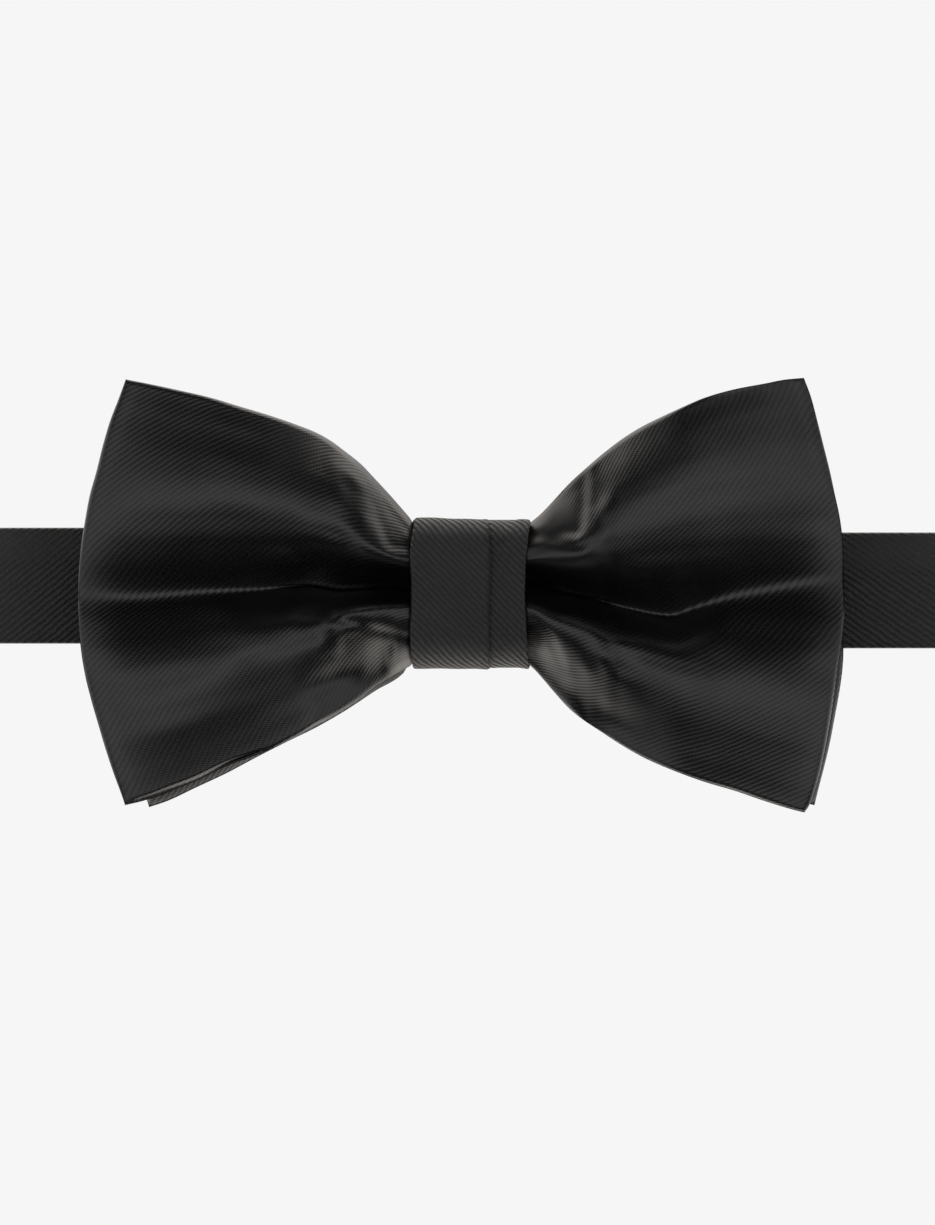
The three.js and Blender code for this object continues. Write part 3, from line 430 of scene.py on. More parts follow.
# Soft dents and fullness of the pressed cloth, in mm: one row for each distance from the middle, from the bottom edge up.
SOFT_S = [9.5, 11.5, 13.5, 16, 18.5, 21, 23.5, 28, 35, 43, 54]
SOFT_V = [-1, -0.86, -0.72, -0.6, -0.48, -0.36, -0.24, -0.1, 0.1, 0.24, 0.36, 0.48, 0.6, 0.72, 0.86, 1]
SOFT = {
    -1: [
        [0.0, 0.0, 0.0, 0.0, 0.0, 0.0, 0.0, 0.0, 0.0, 0.0, 0.0, 0.0, 0.0, 0.0, 0.0, 0.0],
        [0.0, 0.0, 0.0, 0.0, 0.0, 0.0, 0.0, 0.0, 0.0, 0.0, 0.0, 0.0, 0.0, 0.0, 0.0, 0.0],
        [0.0, 0.0, 0.0, 0.0, 0.0, 0.0, 0.0, 0.0, 0.0, 0.0, 0.0, 0.0, 0.0, 0.0, 0.0, 0.0],
        [0.3, 0.1, 0.0, 0.0, 0.0, 0.2, 0.2, 0.3, -0.1, -0.2, -0.3, -0.4, -0.4, -0.1, 0.5, 0.5],
        [0.6, 0.0, -0.6, -0.3, 0.1, 0.8, 0.8, 0.1, -0.3, -0.4, -0.8, -0.9, -0.6, -0.1, 0.9, 0.9],
        [0.5, 0.1, -0.8, -0.2, 0.8, 1.4, 0.4, 0.4, -0.4, -0.4, -0.9, -0.7, -0.1, 0.5, 0.9, 0.9],
        [1.1, 0.4, -0.6, -0.1, 0.1, -0.4, -0.6, 1.2, -0.4, -0.4, -0.8, -0.6, -0.1, 0.4, 0.5, 0.3],
        [0.1, 0.2, -0.1, -0.2, -0.1, -0.4, 0.3, 0.9, 0.9, -0.7, -1.3, -0.8, -0.2, 0.3, 0.5, 0.2],
        [-1.1, -0.8, -0.9, -1.1, -0.9, -0.4, 0.8, 2.1, 1.1, -0.2, -0.8, -0.2, 0.4, 0.8, 0.8, 0.1],
        [-0.4, -0.1, -0.2, -0.7, -0.8, -0.2, 0.5, 1.1, 0.4, -0.4, -0.9, -0.7, -0.4, -0.1, 0.0, -0.4],
        [-0.7, -0.4, -0.4, -0.6, -0.8, -0.4, 0.3, 0.9, 0.6, 0.3, 0.1, 0.0, 0.1, 0.2, -0.1, -0.7],
    ],
    1: [
        [0.0, 0.0, 0.0, 0.0, 0.0, 0.0, 0.0, 0.0, 0.0, 0.0, 0.0, 0.0, 0.0, 0.0, 0.0, 0.0],
        [0.0, 0.0, 0.0, 0.0, 0.0, 0.0, 0.0, 0.0, 0.0, 0.0, 0.0, 0.0, 0.0, 0.0, 0.0, 0.0],
        [0.0, 0.0, 0.0, 0.0, 0.0, 0.0, 0.0, 0.0, 0.0, 0.0, 0.0, 0.0, 0.0, 0.0, 0.0, 0.0],
        [0.5, 0.2, 0.3, 0.0, -0.2, -0.3, -0.4, -0.2, -0.5, 0.1, 0.0, 0.1, 0.1, 0.1, 0.1, 0.5],
        [-0.9, -0.1, 0.3, 0.5, 0.0, -0.5, -0.7, -0.8, -0.3, -0.1, -0.1, 0.5, 0.1, -0.2, 0.1, 0.9],
        [-0.5, -0.4, 0.1, 0.2, 0.5, -0.2, -0.8, -0.9, -0.6, -0.2, -0.6, -0.4, 0.0, -0.4, -0.1, 0.1],
        [0.1, -0.5, -0.3, -0.3, -0.9, -1.1, -1.1, -0.8, 0.6, -0.2, -0.9, -1.2, -0.9, -0.4, -0.2, -0.2],
        [0.0, -0.1, -0.2, -0.6, -1.2, -1.9, -1.1, -0.4, 0.3, -0.7, -1.3, -1.6, -1.1, -0.4, 0.1, 0.3],
        [-0.3, 0.2, 0.1, -0.2, -0.7, -1.4, -0.8, -0.1, 0.2, -0.8, -1.5, -1.7, -1.1, -0.5, -0.1, -0.6],
        [0.2, 0.7, 0.3, -0.3, -0.7, -0.9, -1.0, -0.5, -0.3, -0.6, -0.9, -0.8, -0.4, -0.3, -0.4, -1.0],
        [-0.1, 0.5, 0.2, -0.2, -0.4, -0.6, -0.3, 0.1, 0.4, -0.1, -0.7, -0.8, -0.9, -0.8, -0.8, -0.8],
    ],
}


def soft(side, s, v):
    rows = np.stack([smooth(list(zip(SOFT_V, r)), v) for r in SOFT[side]])
    i = np.clip(np.searchsorted(SOFT_S, s, side="right") - 1, 0, len(SOFT_S) - 2)
    a = np.array(SOFT_S, float)
    t = step(0, 1, (s - a[i]) / (a[i + 1] - a[i]))[:, None]
    return rows[i] * (1 - t) + rows[i + 1] * t


def edge_roll(e, r):
    """0 at an edge, 1 further in than r."""
    q = np.clip(e / r, 0, 1)
    return np.sqrt(np.clip(1 - (1 - q) ** 2, 0, 1))


def front_depth(side, s, v, x, z, zt, zb):
    """Front surface's distance in front of the origin. s and v are the grid's stations and rows."""
    T = FOLDS[side]
    g = {k: smooth(t, s)[:, None] for k, t in T.items()}
    half, mid = ((zt - zb) / 2)[:, None], ((zt + zb) / 2)[:, None]
    Z = mid + v[None] * half
    TOP, BOT = zt[:, None], zb[:, None]
    up = Z >= g["zv"]
    zc = np.where(up, g["z1"], g["z2"])
    dc = np.where(up, g["d1"], g["d2"])
    ze = np.where(up, TOP, BOT)
    de = np.where(up, g["dt"], g["db"])
    # valley to crest
    eps = g["round"]
    t = (np.sqrt((Z - g["zv"]) ** 2 + eps**2) - eps) / (np.sqrt((zc - g["zv"]) ** 2 + eps**2) - eps)
    inner = g["dv"] + (dc - g["dv"]) * np.sin(np.pi / 2 * np.clip(t, 0, 1)) ** 1.15
    # crest to edge
    q = np.clip((Z - zc) / (ze - zc), 0, 1)
    flat = np.where(up, g["ft"], g["fb"])
    fall = (1 - flat) * (1 - (q + 1e-9) ** np.where(up, g["nt"], g["nb"])) + flat * (0.5 + 0.5 * np.cos(np.pi * q))
    outer = de + (dc - de) * fall
    d = np.where(t < 1, inner, outer) + soft(side, s, v)
    for line, amp, width in CREASES[side]:
        r, a = near(line, x, z)
        fade = np.sin(np.pi * np.clip(0.12 + 0.76 * a, 0, 1)) ** 0.5
        fade = np.where(a < 0.25, 1.0, fade) if abs(line[0][0]) < 10 else fade
        d = d + amp * fade * np.exp(-((r / width) ** 2))
    if side > 0:
        # a tuck beside the knot on this wing: the cloth inside it lies a little lower
        tuck = smooth([(6, 15.6), (8, 17.0), (10, 17.6), (13, 18.0), (18, 18.3), (30, 18.8)], z.ravel()).reshape(z.shape)
        d = d - 1.15 * step(0.75, -0.75, x - tuck) * step(10.2, 15.0, x) * step(6.6, 9.0, z)
    # gathers that run in under the knot
    pull = np.exp(-np.clip(np.abs(x) - 9.0, 0, 99) / 2.6) * step(4, 9, np.abs(x))
    d = d + 0.07 * pull * np.sin(9.5 * v[None] * np.pi + 0.8 * side) * step(1.0, 0.9, np.abs(v[None]))
    # long soft unevenness of pressed cloth
    d = d + 0.10 * np.sin(0.19 * x + 0.31 * z + side) * np.sin(0.13 * z - 0.11 * x + 1.3) * step(12, 26, np.abs(x))
    return d


def pinch(side, s, z):
    """The closed fold at the bottom of the valley: how deep it cuts, and how far its upper lip hangs over it."""
    zv, k = smooth(FOLDS[side]["zv"], s)[:, None], smooth(FOLDS[side]["slit"], s)[:, None]
    h = z - zv
    return k * np.exp(-np.abs(h) / 0.14), -0.30 * k * np.exp(-(((h - 0.32) / 0.22) ** 2))


def blur(a, n):
    for _ in range(n):
        a = np.concatenate([a[:1], (a[:-2] + 2 * a[1:-1] + a[2:]) / 4, a[-1:]])
    return a


def half_grid(n_near, n_far, nv):
    s = np.r_[np.linspace(0, 9, n_near, endpoint=False), 9 + 45 * (1 - (1 - np.linspace(0, 1, n_far)) ** 1.25)]
    a = np.linspace(-1, 1, 4001)
    w = 1 + 2.0 * np.exp(-((a / 0.13) ** 2)) + 1.8 * np.exp(-(((1 - np.abs(a)) / 0.05) ** 2))
    c = np.r_[0, np.cumsum((w[1:] + w[:-1]) / 2)]
    v = np.interp(np.linspace(0, c[-1], nv), c, a)
    return s, v


def cloth_xy(side, X, Z, D, height):
    """The cloth's own coordinates in mm: x along the wing from the middle, y up from the valley."""
    P = np.stack([X, -D, Z], 2)
    du = np.r_[np.zeros((1, P.shape[1])), np.cumsum(np.linalg.norm(np.diff(P, axis=0), axis=2), axis=0)]
    dv = np.c_[np.zeros((P.shape[0], 1)), np.cumsum(np.linalg.norm(np.diff(P, axis=1), axis=2), axis=1)]
    mid = dv[:, dv.shape[1] // 2][:, None]
    y = (dv - mid) / (dv[:, -1:] - dv[:, :1]) * 2 * height
    if side < 0:
        y = y * (1 - 0.14 * step(0, 0.3, np.linspace(-1, 1, y.shape[1])))[None]
        du = du * 0.93
    return side * du, y


def build_bow(outline, tag, depth_f, depth_b, edge_mid, roll_r, end_r, n, fold=None):
    """The face surface and the back surface of one bow, meeting at the seam all round; panels() makes each a closed
    sheet 0.35 mm thick.
    """
    halves = {}
    for side in (-1, 1):
        s, v = half_grid(*n)
        X, Z, zt, zb = bow_columns(outline, side, s, v)
        half = ((zt - zb) / 2)[:, None]
        e_v = (1 - np.abs(v))[None] * half
        edge = np.stack([X[-1], Z[-1]], 1)
        e_u = np.sqrt((X - X[-1][None]) ** 2 + (Z - Z[-1][None]) ** 2)
        r = np.where((side > 0) & (v[None] > 0), 0.8, roll_r(s)[:, None])
        R = (edge_roll(e_v, r) if fold else np.clip(e_v / 1.6, 0, 1) ** 0.85) * edge_roll(e_u, end_r)
        f = depth_f(side, s, v, X, Z, zt, zb)
        m = edge_mid(side, s, v, zt, zb)
        b = depth_b(side, s, v, X, Z, zt, zb, f, m)
        # the turned seam stands up a little just inside each end, with a faint dip behind it
        f = f + 0.05 * np.exp(-(((e_u - 1.1) / 0.8) ** 2)) - 0.03 * np.exp(-(((e_u - 2.8) / 0.8) ** 2))
        b = b - 0.10 * np.exp(-(((e_u - 1.1) / 0.7) ** 2))
        if fold and side < 0:
            # the lower edge of this wing is pressed to a slant
            f = f - 1.3 * np.clip(1 - e_v / 0.8, 0, 1) * (step(31, 38, s) * step(53.5, 51, s))[:, None] * (v[None] < 0)
        f, b = m + (f - m) * R, m + (b - m) * R
        cx, cy = cloth_xy(side, X, Z, blur(blur(f, 30).T, 40).T, 34.0)
        ZF = Z
        if fold:
            cut, hang = fold(side, s, Z)
            f, ZF = f - cut, Z + hang
        halves[side] = (X, Z, f, b, cx, cy, ZF)
    L, Rr = halves[-1], halves[1]
    join = lambda a, b: np.concatenate([a[::-1], b[1:]])
    X, Z, f, b, cx, cy, ZF = (join(l, r) for l, r in zip(L, Rr))
    W = np.stack([cx, cy, np.zeros_like(cx)], 2)
    PF, PB = np.stack([X, -f, ZF], 2), np.stack([X, -b, Z], 2)
    nF = normals_of(PF)
    nF = np.where((nF[..., 1:2] > 0), -nF, nF)
    nB = normals_of(PB)
    nB = np.where((nB[..., 1:2] < 0), -nB, nB)
    return X, Z, f, b, W, PF, PB, nF, nB


def panels(tag, data, t=0.35):
    X, Z, f, b, W, PF, PB, nF, nB = data
    m = (PF + PB) / 2
    # inner faces: straight in from the outer ones, never past the middle
    gap = np.abs(PF[..., 1] - PB[..., 1])
    inset = np.minimum(t, 0.42 * gap)
    IF, IB = PF.copy(), PB.copy()
    IF[..., 1] += inset
    IB[..., 1] -= inset
    face = slab(tag + "_face_cloth", PF, IF, W)
    back = slab(tag + "_back_cloth", PB[:, ::-1], IB[:, ::-1], W[:, ::-1])
    # the interlining lies just behind the face panel
    k = 4
    c = (slice(2 * k, -2 * k), slice(3 * k, -3 * k))
    deep = np.pad(PF[..., 1], ((0, 0), (5, 5)), mode="edge")
    deep = np.max([deep[:, q : q + PF.shape[1]] for q in range(11)], axis=0)
    A = np.stack([PF[..., 0], deep, PB[..., 2]], 2)[c]
    B = A.copy()
    room = np.maximum(PB[..., 1] - deep, 0.2)[c]
    A[..., 1] += 0.30 * room
    B[..., 1] += 0.30 * room + np.minimum(0.5, 0.3 * room)
    lining = slab(tag + "_interlining_cloth", A[::2, ::2], B[::2, ::2], W[c][::2, ::2])
    return face, back, lining


def f_edge(side, s, v, zt, zb):
    T = FOLDS[side]
    w = (v[None] + 1) / 2
    mid = smooth(T["db"], s)[:, None] * (1 - w) + smooth(T["dt"], s)[:, None] * w - 0.9
    return mid - 0.5 * (side < 0) * (step(31, 38, s) * step(53.5, 51, s))[:, None] * step(0.3, 0.0, w)


def f_back(side, s, v, x, z, zt, zb, f, m):
    base = np.minimum(np.minimum(m - 0.9, smooth(FOLDS[side]["dv"], s)[:, None] - 1.3), f - 0.8)
    return base + 0.35 * step(0.1, 0.6, np.abs(v))[None] * (1 - step(0.75, 1.0, np.abs(v)))[None]


front = build_bow(FRONT, "front_bow", front_depth, f_back, f_edge, lambda s: 0.75 + 0.9 * np.exp(-((s - 12) / 8.0) ** 2), 0.8, (14, 100, 171), pinch)


def r_front(side, s, v, x, z, zt, zb):
    c = 5.75 + 0.5 * np.exp(-((s / 12.0) ** 2))[:, None] + 0 * v[None]
    a = np.abs(v)[None]
    return c - 0.45 * np.exp(-((a / 0.16) ** 2)) - 0.35 * step(0.55, 1.0, a) + 0.08 * np.sin(0.21 * x + 0.17 * z)


def r_edge(side, s, v, zt, zb):
    return 3.7 + 1.2 * np.exp(-((s / 12.0) ** 2))[:, None] + 0 * v[None]


def r_back(side, s, v, x, z, zt, zb, f, m):
    a = np.abs(v)[None]
    ridge = 0.35 * np.exp(-(((a - 0.5) / 0.22) ** 2)) * step(12, 30, s)[:, None]
    back = 3.75 + 0.75 * np.exp(-((s / 12.0) ** 2))[:, None] + 0.25 * np.exp(-((a / 0.12) ** 2)) - ridge * 0.6 + 0.05 * np.sin(0.23 * x - 0.19 * z)
    return np.minimum(back, m - 0.35 * step(0.8, 1.0, a))


rear = build_bow(REAR, "rear_bow", r_front, r_back, r_edge, lambda s: 2.1 + 0 * s, 0.8, (4, 70, 121))

front_face, front_back, front_lining = panels("front_bow", front)
rear_face, rear_back, rear_lining = panels("rear_bow", rear)
for o, m, node, sl in (
    (front_face, WING, "front_bow_face", "satin"),
    (front_back, BACK, "front_bow_back", "satin_reverse"),
    (front_lining, LINING, "front_bow_interlining", "interlining"),
    (rear_face, WING, "rear_bow_face", "satin"),
    (rear_back, BACK, "rear_bow_back", "satin_reverse"),
    (rear_lining, LINING, "rear_bow_interlining", "interlining"),
):
    wear(o, m)
    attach(o, "bow")
    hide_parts(node)


# ---------------------------------------------------------------- the knot
def rounded_path(corners, radii, n=10):
    out = [np.array(corners[0], float)]
    for i in range(1, len(corners) - 1):
        p = np.array(corners[i], float)
        a = np.array(corners[i - 1], float) - p
        b = np.array(corners[i + 1], float) - p
        a, b = a / np.linalg.norm(a), b / np.linalg.norm(b)
        half = math.acos(float(a @ b)) / 2
        r = radii[i - 1]
        c = p + (a + b) / np.linalg.norm(a + b) * r / math.sin(half)
        s, e = p + a * r / math.tan(half), p + b * r / math.tan(half)
        a0, a1 = math.atan2(*(s - c)[::-1]), math.atan2(*(e - c)[::-1])
        if a1 - a0 > math.pi:
            a1 -= 2 * math.pi
        if a0 - a1 > math.pi:
            a1 += 2 * math.pi
        for t in np.linspace(a0, a1, n + 1):
            out.append(c + r * np.array([math.cos(t), math.sin(t)]))
    out.append(np.array(corners[-1], float))
    return np.array(out)


def resample(path, spacing):
    p = np.array(path, float)
    L = np.r_[0, np.cumsum(np.linalg.norm(np.diff(p, axis=0), axis=1))]
    n = max(2, int(round(L[-1] / spacing)) + 1)
    t = np.linspace(0, L[-1], n)
    return np.stack([np.interp(t, L, p[:, k]) for k in range(p.shape[1])], 1), t


def path_normals(p, closed=False):
    d = np.gradient(p, axis=0)
    d /= np.linalg.norm(d, axis=1)[:, None]
    return np.stack([-d[:, 1], d[:, 0]], 1)


def build_knot():
    # the strip's middle line in (depth, height), from its inner end, round the bottom, front and top, to the outer flap
    line = rounded_path([(1.45, 5), (1.45, -12.05), (15.35, -12.05), (15.35, 10.25), (0.5, 10.25), (0.45, -3.0)], [0.9, 4.2, 2.6, 0.9], 16)
    p, t = resample(line, 0.25)
    n = path_normals(p)
    if ((p - p.mean(0)) * n).sum() < 0:
        n = -n
    nv = 91
    w = np.linspace(0, 1, nv)
    # the long folded edges are not quite straight
    left = [(-12.6, -9.0), (-11.8, -9.15), (-9.9, -9.41), (-6.7, -9.55), (-3.4, -9.36), (0.6, -9.33), (4.9, -9.52), (8.5, -9.15), (10.6, -8.75)]
    right = [(-12.8, 9.6), (-11.5, 9.1), (-8.8, 8.76), (-5.6, 8.62), (-1.4, 8.42), (2.8, 8.5), (6.9, 8.8), (9.2, 9.1), (10.6, 9.4)]
    rise = [(-9, 0.1), (-5, 0.05), (-1.7, -0.12), (1.4, -0.25), (3.6, -0.12), (5.3, -0.25), (6.7, -0.1), (8, 0.1), (9.3, 0.0)]
    drop = [(-9, 0.0), (-5, -0.02), (0.5, 0.0), (2.5, -0.1), (4.5, 0.12), (6.7, 0.1), (8, -0.12), (9.3, -0.4)]
    P_out, P_in, W = [], [], []
    for i in range(len(p)):
        z = p[i, 1]
        k = float(step(9, 13, p[i, 0]))
        x0, x1 = float(smooth(left, z)), float(smooth(right, z))
        x0, x1 = -9.2 + k * (x0 + 9.2), 8.85 + k * (x1 - 8.85)
        xs = x0 + (x1 - x0) * (0.5 - 0.5 * np.cos(np.pi * w)) * 0.5 + (x1 - x0) * w * 0.5
        e = np.minimum(xs - x0, x1 - xs)
        R = edge_roll(e, 0.40)
        fold = 2.75 + 0.12 * math.sin(0.35 * z)
        pleat = 0.26 * step(fold + 0.25, fold - 0.12, xs) - 0.22 * np.exp(-(((xs - fold - 0.15) / 0.22) ** 2))
        ripple = 0.05 * np.sin(0.55 * z + 0.8 + 0.35 * xs) + 0.04 * np.sin(1.1 * xs + 0.2 * z)
        tall = 0.12 * math.cos(math.pi * np.clip((z + 0.9) / 22.0, -0.5, 0.5))
        up = (0.45 + k * (pleat + ripple + tall)) * R
        o = p[i][None] + n[i][None] * up[:, None]
        q = p[i][None] - n[i][None] * (0.45 * R)[:, None]
        lift = k * (float(step(7, 10, z)) * smooth(rise, xs) + float(step(-9, -12, z)) * smooth(drop, xs))
        P_out.append(np.stack([xs, -o[:, 0], o[:, 1] + lift], 1))
        P_in.append(np.stack([xs, -q[:, 0], q[:, 1] + lift], 1))
        W.append(np.stack([xs + 1.1 * (xs > fold), np.full(nv, t[i]), np.zeros(nv)], 1))
    P_out, P_in, W = (np.array(a) for a in (P_out, P_in, W))
    nn = normals_of(P_out)
    mid = P_out.reshape(-1, 3).mean(0)
    if ((P_out - mid) * nn).sum() < 0:
        P_out, P_in, W = P_out[:, ::-1], P_in[:, ::-1], W[:, ::-1]
    return slab("knot_wrap_cloth", P_out, P_in, W)


knot = build_knot()
wear(knot, KNOT)
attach(knot, "bow")
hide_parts("knot_wrap")


# ---------------------------------------------------------------- the straps
BAND_W, BAND_T = 18.3, 1.2
LEFT_Z, RIGHT_Z = 0.4, -0.35
FRONT_Y, TURN_R, TURN_X = -2.7, 28.0, 68.0
REAR_Y = FRONT_Y + 2 * TURN_R
HINGE_Y = FRONT_Y + TURN_R
EYE_X, HOOK_X, SLIDER_X = -56.0, -12.0, 26.0
BAR_Y = REAR_Y - BAND_T / 2 - 0.75


def arc(cx, cy, r, a0, a1, n=24):
    a = np.radians(np.linspace(a0, a1, n + 1))
    return [(cx + r * math.cos(k), cy + r * math.sin(k)) for k in a]


def strap(name, line, zc, thick, spacing=0.8, phase=0.0, waves=0.0, offset=0.0, lean=None, width=BAND_W):
    """A pressed strap: flat faces, folded long edges, following a line in X and Y. line runs so that its left side is the wearer's side or the reverse."""
    p, t = resample(line, spacing)
    n = path_normals(p)
    h = width / 2
    # once round the strap's section: across one face, round the fold, back across the other
    r = thick / 2
    e = 0.45 * r
    face = np.r_[-(h - e), np.linspace(-(h - e - 0.14), h - e - 0.14, 23), h - e]
    fold = np.radians(np.linspace(90, -90, 9))[1:-1]
    sec = [(a, r) for a in face]
    sec += [(h - e + e * math.cos(a), r * math.sin(a)) for a in fold]
    sec += [(a, -r) for a in face[::-1]]
    sec += [(-(h - e) - e * math.cos(a), -r * math.sin(a)) for a in fold]
    sec = np.array(sec)
    per = np.r_[0, np.cumsum(np.linalg.norm(np.diff(sec, axis=0), axis=1))]
    V, W = [], []
    for i in range(len(p)):
        puff = waves * (0.06 * np.sin(0.21 * (t[i] + offset) + phase) + 0.04 * np.sin(0.5 * sec[:, 0] + 0.13 * (t[i] + offset))) * (1 - np.abs(sec[:, 0]) / (h + 0.01))
        if lean:
            back = 0.24 * float(step(lean[1], lean[1] - 8, t[i])) * float(step(2, 9, t[i]))
            puff = puff + lean[2] * back * 0.5 * (np.sqrt((sec[:, 0] - lean[0]) ** 2 + 0.25) + sec[:, 0] - lean[0])
        q = p[i][None] + n[i][None] * (sec[:, 1] + puff)[:, None]
        V.append(np.stack([q[:, 0], q[:, 1], zc + sec[:, 0]], 1))
        W.append(np.stack([np.full(len(sec), t[i] + offset), np.where(np.abs(sec[:, 0]) > h - r, np.sign(sec[:, 0]) * (h - r) + (sec[:, 0] - np.sign(sec[:, 0]) * (h - r)) * 1.5, sec[:, 0]), np.zeros(len(sec))], 1))
    V, W = np.array(V), np.array(W)
    m, k = V.shape[:2]
    a = np.arange(m * k).reshape(m, k)
    F = []
    for i in range(m - 1):
        for j in range(k):
            F.append((a[i, j], a[i, (j + 1) % k], a[i + 1, (j + 1) % k], a[i + 1, j]))
    # close both ends with strips from fold to fold
    for i, flip in ((0, True), (m - 1, False)):
        f = len(face)
        g = len(fold)
        for j in range(f - 1):
            quad = [a[i, j], a[i, j + 1], a[i, f + g + (f - 1 - (j + 1))], a[i, f + g + (f - 1 - j)]]
            F.append(tuple(quad[::-1] if not flip else quad))
        right = [a[i, f - 1]] + [a[i, f + q] for q in range(g)] + [a[i, f + g]]
        left = [a[i, 2 * f + g - 1]] + [a[i, 2 * f + g + q] for q in range(g)] + [a[i, 0]]
        for ring in (right, left):
            F.append(tuple(ring[::-1] if not flip else ring))
    V = V.reshape(-1, 3)
    o = mesh_object(name, V, F, W.reshape(-1, 3))
    # make sure faces point out
    import bmesh

    bm = bmesh.new()
    bm.from_mesh(o.data)
    bmesh.ops.recalc_face_normals(bm, faces=bm.faces)
    bm.to_mesh(o.data)
    bm.free()
    return o, t[-1] + offset


EDGE_X = TURN_X + TURN_R
turn_l = arc(-TURN_X, HINGE_Y, TURN_R, -90, -270, 60)
loop_l = arc(EYE_X, BAR_Y, 1.35, 90, -90, 20)
left_line = [(-0.3, FRONT_Y)] + turn_l + loop_l + [(EYE_X - 1.4, BAR_Y - 1.2), (EYE_X - 3.4, REAR_Y - 1.4), (EYE_X - 10, REAR_Y - 1.4)]
left_strap, _ = strap("band_left_cloth", left_line, LEFT_Z, BAND_T, 0.6, 0.3, 1.0, 0.0, (4.0, 84.0, -1))
wear(left_strap, STRAP_L)
core_l = [(-0.6, FRONT_Y)] + turn_l + [(EYE_X - 9, REAR_Y)]
left_core, _ = strap("band_left_stiffening", core_l, LEFT_Z, 0.4, 1.0, 0.0, 0.0, 0.0, (4.0, 84.0, -1), 17.0)
wear(left_core, LINING)
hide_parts("band_left_front_interlining", "band_left_rear_interlining")
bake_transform(left_core)
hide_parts("band_left_front", "band_left_rear")
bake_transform(left_strap)

SPLIT_X = 66.0
turn_r = arc(TURN_X, HINGE_Y, TURN_R, -90, 90, 60)
right_line = [(0.3, FRONT_Y)] + turn_r + [(SPLIT_X, REAR_Y)]
right_strap, run_t = strap("band_right_cloth", right_line, RIGHT_Z, BAND_T, 0.6, 1.1, 1.0, 0.0, (3.6, 84.0, 1))
wear(right_strap, STRAP_R)
core_r = [(0.6, FRONT_Y)] + turn_r + [(SPLIT_X + 1, REAR_Y)]
right_core, _ = strap("band_right_stiffening", core_r, RIGHT_Z, 0.4, 1.0, 0.0, 0.0, 0.0, (3.6, 84.0, 1), 17.0)
wear(right_core, LINING)
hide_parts("band_right_front_interlining", "band_right_rear_interlining")
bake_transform(right_core)
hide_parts("band_right_front", "band_right_rear")
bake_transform(right_strap)

run_line = [(SPLIT_X, REAR_Y), (HOOK_X, REAR_Y)] + arc(HOOK_X, BAR_Y, 1.35, 90, 270, 20)[1:] + [(HOOK_X + 2.2, BAR_Y - 1.35)]
run, tail_t = strap("band_right_run_cloth", run_line, RIGHT_Z, BAND_T, 0.6, 1.1, 1.0, run_t)
wear(run, STRAP_R)
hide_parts("band_right_run_end", "band_right_turn")
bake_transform(run)

tail_line = [(HOOK_X + 2.2, BAR_Y - 1.35), (SLIDER_X - 7.0, BAR_Y - 1.35)]
tail, sewn_t = strap("band_right_tail_cloth", tail_line, RIGHT_Z, 1.1, 0.6, 0.4, 0.6, tail_t)
wear(tail, STRAP_R)
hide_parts("band_right_tail")
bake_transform(tail)

SLIDE_Y = REAR_Y - 2.4
end_line = [(SLIDER_X - 7, BAR_Y - 1.35), (SLIDER_X - 3, BAR_Y - 1.35), (SLIDER_X - 1, SLIDE_Y - 1.1)] + arc(SLIDER_X, SLIDE_Y, 1.1, -90, 90, 18) + [(SLIDER_X - 6.6, SLIDE_Y + 0.85)]
sewn, _ = strap("band_right_sewn_end_cloth", end_line, RIGHT_Z, 0.8, 0.4, 0.9, 0.0, sewn_t)
wear(sewn, STRAP_R)
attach(sewn, "slider")
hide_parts("band_right_sewn_end")


# ---------------------------------------------------------------- stitches
def stitch_rows(name, rows, radius, bulge, normal=(0, 1, 0)):
    """Separate stitches, each a thread that dips into the cloth at both ends. rows are pairs of (x, y, z) points in mm."""
    V, F = [], []
    nrm = np.array(normal, float)
    for a, b in rows:
        a, b = np.array(a, float), np.array(b, float)
        d = (b - a) / np.linalg.norm(b - a)
        side = np.cross(d, nrm)
        base = len(V)
        m, k = 9, 8
        for i in range(m):
            s = i / (m - 1)
            c = a + (b - a) * s + nrm * bulge * math.sin(math.pi * s) ** 0.6
            rr = radius * (0.55 + 0.45 * math.sin(math.pi * s) ** 0.5)
            for j in range(k):
                t = 2 * math.pi * j / k
                V.append(c + rr * (math.cos(t) * side + math.sin(t) * nrm))
        for i in range(m - 1):
            for j in range(k):
                F.append((base + i * k + j, base + i * k + (j + 1) % k, base + (i + 1) * k + (j + 1) % k, base + (i + 1) * k + j))
        F.append(tuple(base + j for j in range(k))[::-1])
        F.append(tuple(base + (m - 1) * k + j for j in range(k)))
    o = mesh_object(name, np.array(V), F)
    import bmesh

    bm = bmesh.new()
    bm.from_mesh(o.data)
    bmesh.ops.recalc_face_normals(bm, faces=bm.faces)
    bm.to_mesh(o.data)
    bm.free()
    wear(o, THREAD)
    return o


def tack(name, node, body, y, x0, x1, z0, z1, n, normal):
    pts = [((x1 if i % 2 else x0), y, z0 + (z1 - z0) * i / n) for i in range(n + 1)]
    o = stitch_rows(name, list(zip(pts[:-1], pts[1:])), 0.15, 0.10, normal)
    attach(o, body)
    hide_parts(node)
    return o


